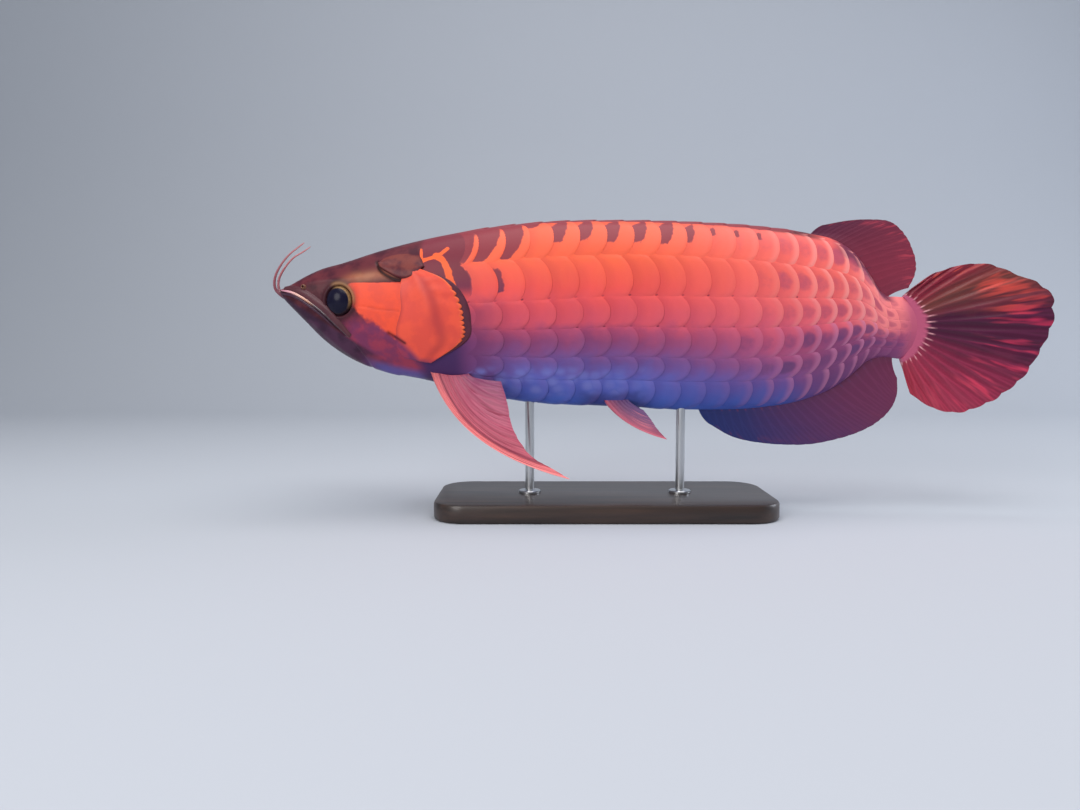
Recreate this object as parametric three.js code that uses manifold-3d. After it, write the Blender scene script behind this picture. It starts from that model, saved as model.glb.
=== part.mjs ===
// A life-size display model of an Asian arowana in its red form, swimming level with folded-back fins.
// Millimetres, +Z up, head towards -X. The fish is modelled in its own frame, with x = 0 at the tip of
// the closed mouth and z = 0 on the long axis of the body, and is then set on a flat stand with two rods.
import * as THREE from "three";
import { mergeVertices } from "three/addons/utils/BufferGeometryUtils.js";
import Module from "manifold-3d";

const wasm = await Module();
wasm.setup();
const { lerp, clamp, smoothstep } = THREE.MathUtils;

// Driving dimensions
const AXIS_HEIGHT = 150;
const SEAM = 0.35;
const BASE_THICK = 14;
const HEAD_END = 116;

// The body's outline and girth at stations from the mouth to the root of the tail fin: distance x, top
// and bottom of the outline, half width, how far down the widest level is, and how square the upper and
// lower halves of the cross-section are.
const STATIONS = [
  { x: 0, top: 22.2, bottom: 19, half: 3, widest: 0.5, squareTop: 2.2, squareBottom: 2.2 },
  { x: 2, top: 23, bottom: 16.4, half: 6.4, widest: 0.5, squareTop: 2.3, squareBottom: 2.2 },
  { x: 6, top: 24.6, bottom: 11.6, half: 9.6, widest: 0.5, squareTop: 2.5, squareBottom: 2.2 },
  { x: 12, top: 27.6, bottom: 5.4, half: 12.4, widest: 0.5, squareTop: 2.7, squareBottom: 2.2 },
  { x: 20, top: 32, bottom: -3, half: 15, widest: 0.48, squareTop: 2.8, squareBottom: 2.1 },
  { x: 32, top: 37.4, bottom: -15.4, half: 18, widest: 0.46, squareTop: 2.9, squareBottom: 2 },
  { x: 50, top: 42.5, bottom: -28.6, half: 21.6, widest: 0.46, squareTop: 2.9, squareBottom: 2 },
  { x: 80, top: 52, bottom: -40.6, half: 26, widest: 0.47, squareTop: 2.8, squareBottom: 2 },
  { x: 112, top: 60.2, bottom: -47.4, half: 29, widest: 0.47, squareTop: 2.6, squareBottom: 2 },
  { x: 150, top: 67.4, bottom: -57.6, half: 31.6, widest: 0.45, squareTop: 2.5, squareBottom: 1.9 },
  { x: 200, top: 73.2, bottom: -65, half: 33, widest: 0.43, squareTop: 2.4, squareBottom: 1.75 },
  { x: 260, top: 74.6, bottom: -67.4, half: 33, widest: 0.42, squareTop: 2.4, squareBottom: 1.65 },
  { x: 320, top: 73.3, bottom: -70.6, half: 31, widest: 0.43, squareTop: 2.3, squareBottom: 1.6 },
  { x: 370, top: 70, bottom: -69.2, half: 26.5, widest: 0.45, squareTop: 2.2, squareBottom: 1.65 },
  { x: 405, top: 65.4, bottom: -63, half: 20.8, widest: 0.47, squareTop: 2.1, squareBottom: 1.8 },
  { x: 430, top: 58.4, bottom: -52.4, half: 15.6, widest: 0.5, squareTop: 2, squareBottom: 1.9 },
  { x: 444, top: 48, bottom: -41.8, half: 12.6, widest: 0.5, squareTop: 2, squareBottom: 2 },
  { x: 454, top: 34, bottom: -32.8, half: 10.6, widest: 0.5, squareTop: 2, squareBottom: 2 },
  { x: 464, top: 19.6, bottom: -29.6, half: 8.6, widest: 0.5, squareTop: 2.1, squareBottom: 2.1 },
  { x: 476, top: 17, bottom: -30.6, half: 6.4, widest: 0.5, squareTop: 2.3, squareBottom: 2.3 },
  { x: 500, top: 19.6, bottom: -34.6, half: 3, widest: 0.5, squareTop: 2.6, squareBottom: 2.6 },
];

// A smooth curve through values at growing positions, with each tangent that of a parabola.
function curveThrough(positions, values) {
  const last = positions.length - 1;
  const step = (i) => positions[i + 1] - positions[i];
  const slope = (i) => (values[i + 1] - values[i]) / step(i);
  const tangent = positions.map((_, i) => {
    if (i === 0) return slope(0);
    if (i === last) return slope(last - 1);
    return (step(i) * slope(i - 1) + step(i - 1) * slope(i)) / (step(i - 1) + step(i));
  });
  return (at) => {
    const p = clamp(at, positions[0], positions[last]);
    let i = 0;
    while (i < last - 1 && p > positions[i + 1]) i += 1;
    const u = (p - positions[i]) / step(i);
    const from = values[i] * (1 + 2 * u) * (1 - u) ** 2 + tangent[i] * step(i) * u * (1 - u) ** 2;
    const to = values[i + 1] * u * u * (3 - 2 * u) + tangent[i + 1] * step(i) * u * u * (u - 1);
    return from + to;
  };
}
const stationX = STATIONS.map((s) => s.x);
const stationCurve = (key) => curveThrough(stationX, STATIONS.map((s) => s[key]));
const topOf = stationCurve("top");
const bottomOf = stationCurve("bottom");
const halfOf = stationCurve("half");
const widestOf = stationCurve("widest");
const squareTopOf = stationCurve("squareTop");
const squareBottomOf = stationCurve("squareBottom");

// One cross-section as a function of the share of its length from mid back (0) to keel (1). Each half is
// a quarter of a superellipse.
const SECTION_SAMPLES = 96;
function sectionAt(x) {
  const top = topOf(x);
  const bottom = bottomOf(x);
  const level = lerp(top, bottom, widestOf(x));
  const points = [];
  for (let i = 0; i <= SECTION_SAMPLES; i++) {
    const angle = (Math.PI * i) / SECTION_SAMPLES;
    const upper = angle <= Math.PI / 2;
    const power = 2 / (upper ? squareTopOf(x) : squareBottomOf(x));
    const rise = upper ? top - level : bottom - level;
    const y = halfOf(x) * Math.sin(angle) ** power;
    points.push([i === SECTION_SAMPLES ? 0 : y, level + rise * Math.abs(Math.cos(angle)) ** power]);
  }
  const reach = [0];
  for (let i = 1; i <= SECTION_SAMPLES; i++) {
    const run = Math.hypot(points[i][0] - points[i - 1][0], points[i][1] - points[i - 1][1]);
    reach.push(reach[i - 1] + run);
  }
  return (share) => {
    const wanted = share * reach[SECTION_SAMPLES];
    let i = 0;
    while (i < SECTION_SAMPLES - 1 && reach[i + 1] < wanted) i += 1;
    const u = (wanted - reach[i]) / (reach[i + 1] - reach[i]);
    return [lerp(points[i][0], points[i + 1][0], u), lerp(points[i][1], points[i + 1][1], u)];
  };
}

// A point of the body's right side (+Y) at x and a share round the section, raised along its normal.
const PROBE = 0.4;
const PROBE_SHARE = 0.004;
function skinPoint(x, share, raise) {
  const [y, z] = sectionAt(x)(share);
  if (raise === 0) return new THREE.Vector3(x, y, z);
  const ahead = sectionAt(x + PROBE)(share);
  const behind = sectionAt(x - PROBE)(share);
  const above = sectionAt(x)(Math.max(0, share - PROBE_SHARE));
  const below = sectionAt(x)(Math.min(1, share + PROBE_SHARE));
  const along = new THREE.Vector3(2 * PROBE, ahead[0] - behind[0], ahead[1] - behind[1]);
  const round = new THREE.Vector3(0, below[0] - above[0], below[1] - above[1]);
  if (share === 0) round.set(0, 1, 0);
  if (share === 1) round.set(0, -1, 0);
  const normal = along.cross(round).normalize();
  if (share === 0 || share === 1) normal.y = 0;
  return new THREE.Vector3(x, y, z).addScaledVector(normal, raise);
}

// The half width of the bare body at a place seen from the side, and the point there, raised.
function sideHalf(x, z) {
  const top = topOf(x);
  const bottom = bottomOf(x);
  const level = lerp(top, bottom, widestOf(x));
  const upper = z >= level;
  const share = clamp(upper ? (z - level) / (top - level) : (level - z) / (level - bottom), 0, 1);
  const square = upper ? squareTopOf(x) : squareBottomOf(x);
  return halfOf(x) * (1 - share ** square) ** (1 / square);
}
function sidePoint(x, z, raise) {
  const normal = new THREE.Vector3(
    sideHalf(x - PROBE, z) - sideHalf(x + PROBE, z),
    2 * PROBE,
    sideHalf(x, z - PROBE) - sideHalf(x, z + PROBE),
  ).normalize();
  return new THREE.Vector3(x, sideHalf(x, z), z).addScaledVector(normal, raise);
}

// Geometry from points and triangles, turned so that its faces point out.
function geometryOf(points, triangles) {
  let volume = 0;
  for (const [a, b, c] of triangles)
    volume += points[a].dot(new THREE.Vector3().crossVectors(points[b], points[c]));
  const faces = volume < 0 ? triangles.map(([a, b, c]) => [a, c, b]) : triangles;
  return new THREE.BufferGeometry()
    .setAttribute("position", new THREE.Float32BufferAttribute(points.flatMap((p) => [p.x, p.y, p.z]), 3))
    .setIndex(faces.flat());
}
function quad(faces, a, b, c, d) {
  faces.push([a, b, c], [a, c, d]);
}

// A closed skin over rings that are the same on both sides of the middle plane. Each ring holds the
// points of the right side, from back to keel, and the two ends are closed by strips across the body.
function symmetricSkin(rings) {
  const side = rings[0].length - 1;
  const around = 2 * side;
  const points = rings.flatMap((ring) => [
    ...ring,
    ...ring.slice(1, side).reverse().map((p) => new THREE.Vector3(p.x, -p.y, p.z)),
  ]);
  const faces = [];
  for (let i = 0; i + 1 < rings.length; i++)
    for (let j = 0; j < around; j++) {
      const next = (j + 1) % around;
      quad(faces, i * around + j, i * around + next, (i + 1) * around + next, (i + 1) * around + j);
    }
  const cap = (start, flip) => {
    const strip = [];
    for (let j = 0; j < side; j++) {
      const right = [start + j, start + j + 1];
      const left = [start + ((around - j) % around), start + around - j - 1];
      if (j > 0) strip.push([right[0], left[0], right[1]]);
      if (j + 1 < side) strip.push([right[1], left[0], left[1]]);
    }
    faces.push(...strip.map(([a, b, c]) => (flip ? [a, c, b] : [a, b, c])));
  };
  cap(0, false);
  cap((rings.length - 1) * around, true);
  return geometryOf(points, faces);
}

// A tube through points whose radius follows a function of the share of its length, with pointed ends.
function taperedTube(path, radiusAt, steps, sides) {
  const curve = new THREE.CatmullRomCurve3(path);
  const frames = curve.computeFrenetFrames(steps);
  const points = [curve.getPointAt(0)];
  for (let i = 0; i <= steps; i++) {
    const radius = radiusAt(i / steps);
    for (let j = 0; j < sides; j++) {
      const angle = (2 * Math.PI * j) / sides;
      points.push(
        curve
          .getPointAt(i / steps)
          .addScaledVector(frames.normals[i], radius * Math.cos(angle))
          .addScaledVector(frames.binormals[i], radius * Math.sin(angle)),
      );
    }
  }
  points.push(curve.getPointAt(1));
  const faces = [];
  for (let j = 0; j < sides; j++) {
    const next = (j + 1) % sides;
    faces.push([0, 1 + next, 1 + j]);
    faces.push([points.length - 1, 1 + steps * sides + j, 1 + steps * sides + next]);
    for (let i = 0; i < steps; i++) {
      const ring = 1 + i * sides;
      quad(faces, ring + j, ring + next, ring + sides + next, ring + sides + j);
    }
  }
  return geometryOf(points, faces);
}

// A closed sheet: a grid of middle points, each with an offset to its upper and its lower face.
function sheetSkin(columns, rows, upperAt, lowerAt) {
  const points = [];
  for (const faceAt of [upperAt, lowerAt])
    for (let i = 0; i <= columns; i++) for (let j = 0; j <= rows; j++) points.push(faceAt(i, j));
  const up = (i, j) => i * (rows + 1) + j;
  const down = (i, j) => up(i, j) + (columns + 1) * (rows + 1);
  const faces = [];
  for (let i = 0; i < columns; i++)
    for (let j = 0; j < rows; j++) {
      quad(faces, up(i, j), up(i + 1, j), up(i + 1, j + 1), up(i, j + 1));
      faces.push([down(i, j), down(i + 1, j + 1), down(i + 1, j)]);
      faces.push([down(i, j), down(i, j + 1), down(i + 1, j + 1)]);
    }
  for (let i = 0; i < columns; i++) {
    quad(faces, up(i + 1, 0), up(i, 0), down(i, 0), down(i + 1, 0));
    quad(faces, up(i, rows), up(i + 1, rows), down(i + 1, rows), down(i, rows));
  }
  for (let j = 0; j < rows; j++) {
    quad(faces, up(0, j), up(0, j + 1), down(0, j + 1), down(0, j));
    quad(faces, up(columns, j + 1), up(columns, j), down(columns, j), down(columns, j + 1));
  }
  return geometryOf(points, faces);
}

// Solids for joining and cutting.
function solidOf(geometry) {
  const bare = geometry.index ? geometry.toNonIndexed() : geometry.clone();
  bare.deleteAttribute("normal");
  bare.deleteAttribute("uv");
  const merged = mergeVertices(bare, 1e-4);
  return new wasm.Manifold(
    new wasm.Mesh({
      numProp: 3,
      vertProperties: new Float32Array(merged.attributes.position.array),
      triVerts: new Uint32Array(merged.index.array),
    }),
  );
}
function geometryFrom(solid) {
  const mesh = solid.getMesh();
  const corners = [];
  for (let i = 0; i < mesh.numVert; i++)
    corners.push(...mesh.vertProperties.subarray(i * mesh.numProp, i * mesh.numProp + 3));
  return new THREE.BufferGeometry()
    .setAttribute("position", new THREE.Float32BufferAttribute(corners, 3))
    .setIndex(Array.from(mesh.triVerts));
}
const byVolume = (solid) => solid.decompose().sort((a, b) => b.volume() - a.volume());
function mirrored(geometry) {
  const flipped = geometry.clone().scale(1, -1, 1);
  const index = flipped.index.array;
  for (let i = 0; i < index.length; i += 3) [index[i + 1], index[i + 2]] = [index[i + 2], index[i + 1]];
  return flipped;
}

// The scaled trunk. Scales lie in rows along the body, with their edges given as shares of the section
// from the mid back, at the shoulder and at the tail, and in columns that bow back like the gill opening.
// In the row next to the back the rims slant rearward to the top.
const ROW_EDGES = [0, 0.06, 0.255, 0.445, 0.605, 0.73, 0.84, 1];
const ROW_EDGES_REAR = [0, 0.06, 0.22, 0.375, 0.53, 0.69, 0.81, 1];
const ROW_SHIFT = [0.1, 0, 0, 0.08, 0.25, 0.5, 0.55];
const ROW_SLANT = [0.5, 0.5, 0, 0, 0, 0, 0];
const ROW_STEPS = [1, 4, 4, 4, 3, 3, 2];
const COLUMNS = 21;
const LONG_SCALE = 20.5;
const SHORT_SCALE = 10.5;
const SHRINK_FROM = 5.5;
const SHRINK_TO = 20;
const SCALE_BOW = 0.3;
const SCALE_RISE = 0.062;
const RIM_SLOPE = 0.4;
const MIDDLE_RISE = 0.64;
const ROW_GROOVE = 0.45;
const GROOVE_FROM = 0.6;
const TORSO_SPLIT = 8;
const STALK_SPLIT = 15;

const gillLine = (share) => 120 + 25 * Math.sin(Math.PI * share);
const tailLine = (share) => 482 + 12 * Math.sin(Math.PI * share);
const scaleLengths = Array.from({ length: COLUMNS }, (_, k) =>
  lerp(LONG_SCALE, SHORT_SCALE, smoothstep(k, SHRINK_FROM, SHRINK_TO)),
);
const lengthSum = scaleLengths.reduce((sum, length) => sum + length, 0);
const columnShare = [0];
for (const length of scaleLengths) columnShare.push(columnShare.at(-1) + length / lengthSum);

// The shares round the section where the trunk has points, with how far each is shifted and bowed back,
// in scale lengths, and how much of a scale's rise it keeps beside the groove between two rows.
const ringPlaces = [];
ROW_STEPS.forEach((steps, row) => {
  const edgesAt = (edges, u) => lerp(edges[row], edges[row + 1], u);
  for (let i = row === 0 ? 0 : 1; i <= steps; i++) {
    const across = row === 0 ? i / steps : Math.abs((2 * i) / steps - 1);
    const onEdge = i === steps && row + 1 < ROW_STEPS.length;
    const shift = onEdge ? (ROW_SHIFT[row] + ROW_SHIFT[row + 1]) / 2 : ROW_SHIFT[row];
    const slant = ROW_SLANT[row] * (row === 0 ? 1 : 1 - i / steps);
    ringPlaces.push({
      share: edgesAt(ROW_EDGES, i / steps),
      rearShare: edgesAt(ROW_EDGES_REAR, i / steps),
      back: shift + slant + SCALE_BOW * (1 - across ** 2),
      keep: lerp(1, ROW_GROOVE, smoothstep(across, GROOVE_FROM, 1)),
    });
  }
});

// The fins on the back and belly stand on a smooth strip.
const BACK_STRIP = { from: 390, full: 400, share: 0.02, away: 0.08 };
const KEEL_STRIP = { from: 308, full: 318, share: 0.99, away: 0.94 };
function onStrip(x, share, { from, full, share: middle, away }) {
  return smoothstep(x, from, full) * (1 - smoothstep(Math.abs(share - middle), 0, Math.abs(away - middle)));
}
const reliefAt = (x, share) => 1 - Math.max(onStrip(x, share, BACK_STRIP), onStrip(x, share, KEEL_STRIP));

// One ring of the trunk: column k and how far along its scales, lifted to the height that they have there.
function trunkRing(column, along, extraX, height, grow) {
  const length = scaleLengths[Math.min(column, COLUMNS - 1)];
  const place = (k, spot) => {
    const base = lerp(gillLine(spot.share), tailLine(spot.share), columnShare[k]);
    return k === COLUMNS ? base : base + spot.back * length;
  };
  const next = Math.min(column + 1, COLUMNS);
  const rearward = lerp(columnShare[column], columnShare[next], along);
  return ringPlaces.map((spot) => {
    const x = lerp(place(column, spot), place(next, spot), along) + extraX;
    const share = lerp(spot.share, spot.rearShare, rearward);
    const rise = height * SCALE_RISE * length * spot.keep * reliefAt(x, share);
    return skinPoint(x, share, rise + grow);
  });
}
const neckRing = (x, grow) => ringPlaces.map((spot) => skinPoint(x, spot.share, grow));

// The rings of the columns from first up to last, each scale rising from under the one before to its rim.
function trunkRings(first, last, grow) {
  const rings = [];
  for (let k = first; k < last; k++) {
    rings.push(trunkRing(k, 0, RIM_SLOPE + (k === first && k > 0 ? SEAM : 0), 0, grow));
    rings.push(trunkRing(k, 0.5, 0, MIDDLE_RISE, grow));
    rings.push(trunkRing(k, 1, 0, 1, grow));
  }
  rings.push(trunkRing(last, 0, RIM_SLOPE, 0, grow));
  return rings;
}
const NECK_MIDDLE = 119;
const neck = (grow) => [neckRing(HEAD_END + SEAM, grow), neckRing(NECK_MIDDLE, grow)];
const torsoFront = symmetricSkin([...neck(0), ...trunkRings(0, TORSO_SPLIT, 0)]);
const torsoRear = symmetricSkin(trunkRings(TORSO_SPLIT, STALK_SPLIT, 0));
const tailStalk = symmetricSkin(trunkRings(STALK_SPLIT, COLUMNS, 0));
const grownEnd = trunkRing(COLUMNS, 0, RIM_SLOPE + SEAM, 0, SEAM);
const grownTrunk = solidOf(symmetricSkin([...neck(SEAM), ...trunkRings(0, COLUMNS, SEAM), grownEnd]));

// A bony plate on the head's side, between a front and a rear edge seen from the side. Its outer face is
// raised by a function of the shares back and down.
const edgeCurve = (corners) => {
  const places = corners.map((_, i) => i / (corners.length - 1));
  const x = curveThrough(places, corners.map((c) => c[0]));
  const z = curveThrough(places, corners.map((c) => c[1]));
  return (share) => [x(share), z(share)];
};
function plate(front, rear, backSteps, downSteps, innerRaise, outerRaise) {
  const place = (i, j, raise) => {
    const [from, to] = [front(j / downSteps), rear(j / downSteps)];
    const back = i / backSteps;
    return sidePoint(lerp(from[0], to[0], back), lerp(from[1], to[1], back), raise);
  };
  return sheetSkin(
    backSteps,
    downSteps,
    (i, j) => place(i, j, outerRaise(i / backSteps, j / downSteps)),
    (i, j) => place(i, j, innerRaise),
  );
}

// The gill cover: a bony plate with a raised ridge near its front and a rounded free rear margin.
const COVER_FRONT = edgeCurve([[99, 33], [95.4, 20], [95.6, 6], [91.4, -8], [92.4, -20], [97.5, -30]]);
const COVER_REAR = edgeCurve([[111, 36.5], [130, 28], [140.4, 14], [144, -2], [142, -17], [118, -33.5]]);
const COVER_RIM = 1.5;
const COVER_SWELL = 1.3;
const COVER_RIDGE = 0.7;
const coverRaise = (back, down) =>
  SEAM + COVER_RIM + COVER_SWELL * Math.sin(Math.PI * clamp(back, 0, 1)) * Math.sin(Math.PI * down) ** 0.5 +
  COVER_RIDGE * Math.exp(-(((back - 0.42) / 0.12) ** 2));
const gillCover = plate(COVER_FRONT, COVER_REAR, 10, 12, SEAM, coverRaise);

// The cheek plate between the eye and the gill cover, and the flat bone above the gill opening.
const CHEEK_FRONT = edgeCurve([[62, 26], [63.6, 14], [60, 0], [56, -10]]);
const CHEEK_REAR = edgeCurve([[94, 27], [93.6, 8], [89.6, -8], [80, -20]]);
const CHEEK_RAISE = 0.9;
const PLATE_SUNK = -2;
const cheek = plate(CHEEK_FRONT, CHEEK_REAR, 6, 6, PLATE_SUNK, () => CHEEK_RAISE);
const NAPE_FRONT = edgeCurve([[84, 41], [82.5, 37.5], [85, 34]]);
const NAPE_REAR = edgeCurve([[112, 46], [114, 42], [110, 38.6]]);
const NAPE_RAISE = 1.2;
const napePlate = plate(NAPE_FRONT, NAPE_REAR, 5, 3, PLATE_SUNK, () => NAPE_RAISE);

// The mouth slants back and down from the tip of the snout to the jaw's joint below the eye, and the
// lower jaw is parted from the head there and down to the throat.
const MOUTH_CORNERS = [[-6, 21.4], [4, 20.3], [13.5, 18.2], [25, 11.8], [38.5, 1.2], [55.5, -15.5]];
const THROAT_CORNERS = [[65, -28], [71, -40], [74, -60]];
const MOUTH = edgeCurve(MOUTH_CORNERS);
const JAW_LINE = edgeCurve([...MOUTH_CORNERS, ...THROAT_CORNERS]);
const MOUTH_GAP = 0.6;
const HEAD_SIDE_STEPS = 16;
const HEAD_RINGS = [0, 1, 3, 6, 10, 15, 21, 28, 36, 45, 54, 64, 74, 85, 95, 106, HEAD_END];
const headShares = Array.from({ length: HEAD_SIDE_STEPS + 1 }, (_, j) => j / HEAD_SIDE_STEPS);
const headShell = (grow) =>
  symmetricSkin(HEAD_RINGS.map((x) => headShares.map((share) => skinPoint(x, share, grow))));

// A thin slab right across the head that follows a line seen from the side.
const CUT_HALF_WIDTH = 80;
const LINE_PROBE = 0.01;
function cutAlong(line, steps) {
  const spot = (share) => {
    const [before, after] = [line(Math.max(0, share - LINE_PROBE)), line(Math.min(1, share + LINE_PROBE))];
    const run = Math.hypot(after[0] - before[0], after[1] - before[1]);
    const [x, z] = line(share);
    return [x, z, -(after[1] - before[1]) / run, (after[0] - before[0]) / run];
  };
  const at = (i, j, side) => {
    const [x, z, acrossX, acrossZ] = spot(i / steps);
    const half = (side * MOUTH_GAP) / 2;
    return new THREE.Vector3(x + half * acrossX, (2 * j - 1) * CUT_HALF_WIDTH, z + half * acrossZ);
  };
  return solidOf(sheetSkin(steps, 1, (i, j) => at(i, j, 1), (i, j) => at(i, j, -1)));
}

// Lips: rounded rolls that follow the mouth on both sides, half sunk in the skin and thinner to the rear.
// Each lies beside the line of the mouth, the upper one above it and reaching further back.
const LIP_STEPS = 9;
const LIP_SIDES = 6;
const LIP_START = 0.2;
const LIP_SUNK = 0.35;
const LIP_TAPER = 0.45;
const UPPER_LIP = { offset: 1.9, radius: 2.1, reach: 1 };
const LOWER_LIP = { offset: -1.7, radius: 1.7, reach: 0.86 };
function lip({ offset, radius, reach }, side, grow) {
  const path = [];
  for (let i = 0; i <= LIP_STEPS; i++) {
    const share = lerp(LIP_START, reach, i / LIP_STEPS);
    const [x, z] = MOUTH(share);
    const [fromX, fromZ] = MOUTH(share - LINE_PROBE);
    const run = Math.hypot(x - fromX, z - fromZ);
    const across = [-(z - fromZ) / run, (x - fromX) / run];
    const place = sidePoint(x + offset * across[0], z + offset * across[1], -LIP_SUNK * radius);
    path.push(new THREE.Vector3(place.x, side * place.y, place.z));
  }
  const radiusAt = (share) => (radius + grow) * (1 - LIP_TAPER * share);
  return solidOf(taperedTube(path, radiusAt, LIP_STEPS, LIP_SIDES));
}
const lips = (side, grow) => lip(UPPER_LIP, side, grow).add(lip(LOWER_LIP, side, grow));

// The eye: a flattened ball, a little taller than wide, in a socket of the same shape, inside a bony rim.
const EYE = { x: 49.6, z: 13, radius: 12, narrow: 0.9, depth: 8, bulge: 3.4, turn: 0.17 };
const EYE_SIDES = 18;
const EYE_RINGS = 8;
function eyeball(side, grow) {
  const ball = new THREE.SphereGeometry(1, EYE_SIDES, EYE_RINGS);
  ball.scale(EYE.narrow * EYE.radius + grow, EYE.depth + grow, EYE.radius + grow);
  ball.rotateZ(side * EYE.turn);
  return ball.translate(EYE.x, side * (sideHalf(EYE.x, EYE.z) + EYE.bulge - EYE.depth), EYE.z);
}
const EYE_RIM = { radius: 12.2, tube: 1.5, sunk: 0.6 };
const EYE_RIM_SIDES = 5;
function eyeRim(side) {
  const ring = new THREE.TorusGeometry(EYE_RIM.radius, EYE_RIM.tube, EYE_RIM_SIDES, EYE_SIDES);
  ring.rotateX(Math.PI / 2).scale(EYE.narrow, 1, 1);
  ring.rotateZ(side * EYE.turn);
  return ring.translate(EYE.x, side * (sideHalf(EYE.x, EYE.z) - EYE_RIM.sunk), EYE.z);
}

// Each nostril is a short tube on the snout's side.
const NOSTRIL = { x: 21.8, z: 23.6, outer: 1.9, bore: 0.9, stand: 1.8, root: 3, boreDepth: 0.6 };
const NOSTRIL_SIDES = 10;
function nostrilTube(side, radius, sunk) {
  const length = NOSTRIL.stand + sunk;
  const tube = new THREE.CylinderGeometry(radius, radius, length, NOSTRIL_SIDES);
  const foot = sidePoint(NOSTRIL.x, NOSTRIL.z, 0);
  const out = sidePoint(NOSTRIL.x, NOSTRIL.z, 1).sub(foot);
  tube.applyQuaternion(new THREE.Quaternion().setFromUnitVectors(new THREE.Vector3(0, 1, 0), out));
  const middle = foot.addScaledVector(out, (NOSTRIL.stand - sunk) / 2);
  tube.translate(middle.x, middle.y, middle.z);
  return side > 0 ? tube : mirrored(tube);
}

let wholeHead = solidOf(headShell(0)).add(solidOf(cheek)).add(solidOf(mirrored(cheek)));
wholeHead = wholeHead.add(solidOf(napePlate)).add(solidOf(mirrored(napePlate)));
for (const side of [-1, 1]) {
  wholeHead = wholeHead.add(lips(side, 0));
  wholeHead = wholeHead.add(solidOf(eyeRim(side))).subtract(solidOf(eyeball(side, SEAM)));
  wholeHead = wholeHead.add(solidOf(nostrilTube(side, NOSTRIL.outer, NOSTRIL.root)));
  wholeHead = wholeHead.subtract(solidOf(nostrilTube(side, NOSTRIL.bore, NOSTRIL.boreDepth)));
}
const JAW_LINE_STEPS = 16;
const [head, lowerJaw] = byVolume(wholeHead.subtract(cutAlong(JAW_LINE, JAW_LINE_STEPS)));

// A pair of barbels on the tip of the lower jaw, curving forward and up.
const BARBEL_ROOT_RADIUS = 1.5;
const BARBEL_TIP_RADIUS = 0.45;
const BARBEL_LEAN = { left: 0, right: 3 };
const BARBEL_STEPS = 14;
const BARBEL_SIDES = 6;
const grownHead = solidOf(headShell(SEAM));
function barbel(side, lean) {
  const path = [
    [6, 2.6, 15],
    [1, 3.4, 18],
    [-3, 4.6, 23],
    [-2.4 - 0.3 * lean, 6.4, 31],
    [2.4 - 0.6 * lean, 8.6, 39.5],
    [9.6 - 0.9 * lean, 10.6, 47.5],
    [17 - lean, 12 + lean, 53],
    [22.5 - lean, 12.6 + lean, 57],
  ].map(([x, y, z]) => new THREE.Vector3(x, side * y, z));
  const radiusAt = (share) => lerp(BARBEL_ROOT_RADIUS, BARBEL_TIP_RADIUS, share);
  const whisker = solidOf(taperedTube(path, radiusAt, BARBEL_STEPS, BARBEL_SIDES));
  return geometryFrom(byVolume(whisker.subtract(grownHead).subtract(lips(side, SEAM)))[0]);
}

// A fin as a web over rays. The rays run from a root line to a margin, bowed by a middle point, and stand
// out on both faces. The crests are on even columns, and the margin is cut in a little between them.
const FIN_NOTCH = 0.025;
const FIN_FOOT = 0.3;
function fin({ rays, steps, root, tip, bow, rootThick, rayThick, webThick, edgeThick }) {
  const columns = 2 * (rays - 1);
  const centre = (i, j) => {
    const s = clamp(i, 0, columns) / columns;
    const reach = Math.abs(i) % 2 === 0 ? 1 : 1 - FIN_NOTCH;
    const t = (clamp(j, 0, steps) / steps) * reach;
    const [from, middle, to] = [root(s), bow(s), tip(s)];
    return from
      .multiplyScalar((1 - t) ** 2)
      .addScaledVector(middle, 2 * t * (1 - t))
      .addScaledVector(to, t * t);
  };
  const smoothCentre = (i, j) => {
    const odd = i % 2 !== 0 && i > 0 && i < columns;
    return odd ? centre(i - 1, j).add(centre(i + 1, j)).multiplyScalar(0.5) : centre(i, j);
  };
  const normal = (i, j) => {
    const across = smoothCentre(Math.min(i + 2, columns), j).sub(smoothCentre(Math.max(i - 2, 0), j));
    const along = smoothCentre(i, Math.min(j + 1, steps)).sub(smoothCentre(i, Math.max(j - 1, 0)));
    return across.cross(along).normalize();
  };
  const half = (i, j) => {
    const t = j / steps;
    const body = i % 2 === 0 ? lerp(rayThick, edgeThick, t) : lerp(webThick, edgeThick, t);
    const edge = i === 0 || i === columns ? lerp(rayThick, edgeThick, t) : body;
    return lerp(rootThick, edge, smoothstep(t, 0, FIN_FOOT)) / 2;
  };
  return sheetSkin(
    columns,
    steps,
    (i, j) => centre(i, j).addScaledVector(normal(i, j), half(i, j)),
    (i, j) => centre(i, j).addScaledVector(normal(i, j), -half(i, j)),
  );
}
// A smooth line through points in the middle plane, given as x and z.
const planeLine = (corners, sway) => {
  const line = edgeCurve(corners);
  return (s) => {
    const [x, z] = line(s);
    return new THREE.Vector3(x, sway(s), z);
  };
};
const middleOf = (from, to, push) => (s) => {
  const half = from(s).add(to(s)).multiplyScalar(0.5);
  const [x, y, z] = push(s);
  return half.add(new THREE.Vector3(x, y, z));
};

// A root line just under the back or the keel, and a fin cut back to the skin with the seam between.
const ROOT_DEPTH = 1.5;
function rootOn(outline, from, to, away) {
  return (s) => {
    const x = lerp(from, to, s);
    return new THREE.Vector3(x, 0, outline(x) - away * ROOT_DEPTH);
  };
}
function fittedFin(shape) {
  return geometryFrom(byVolume(solidOf(fin(shape)).subtract(grownTrunk))[0]);
}

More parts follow.
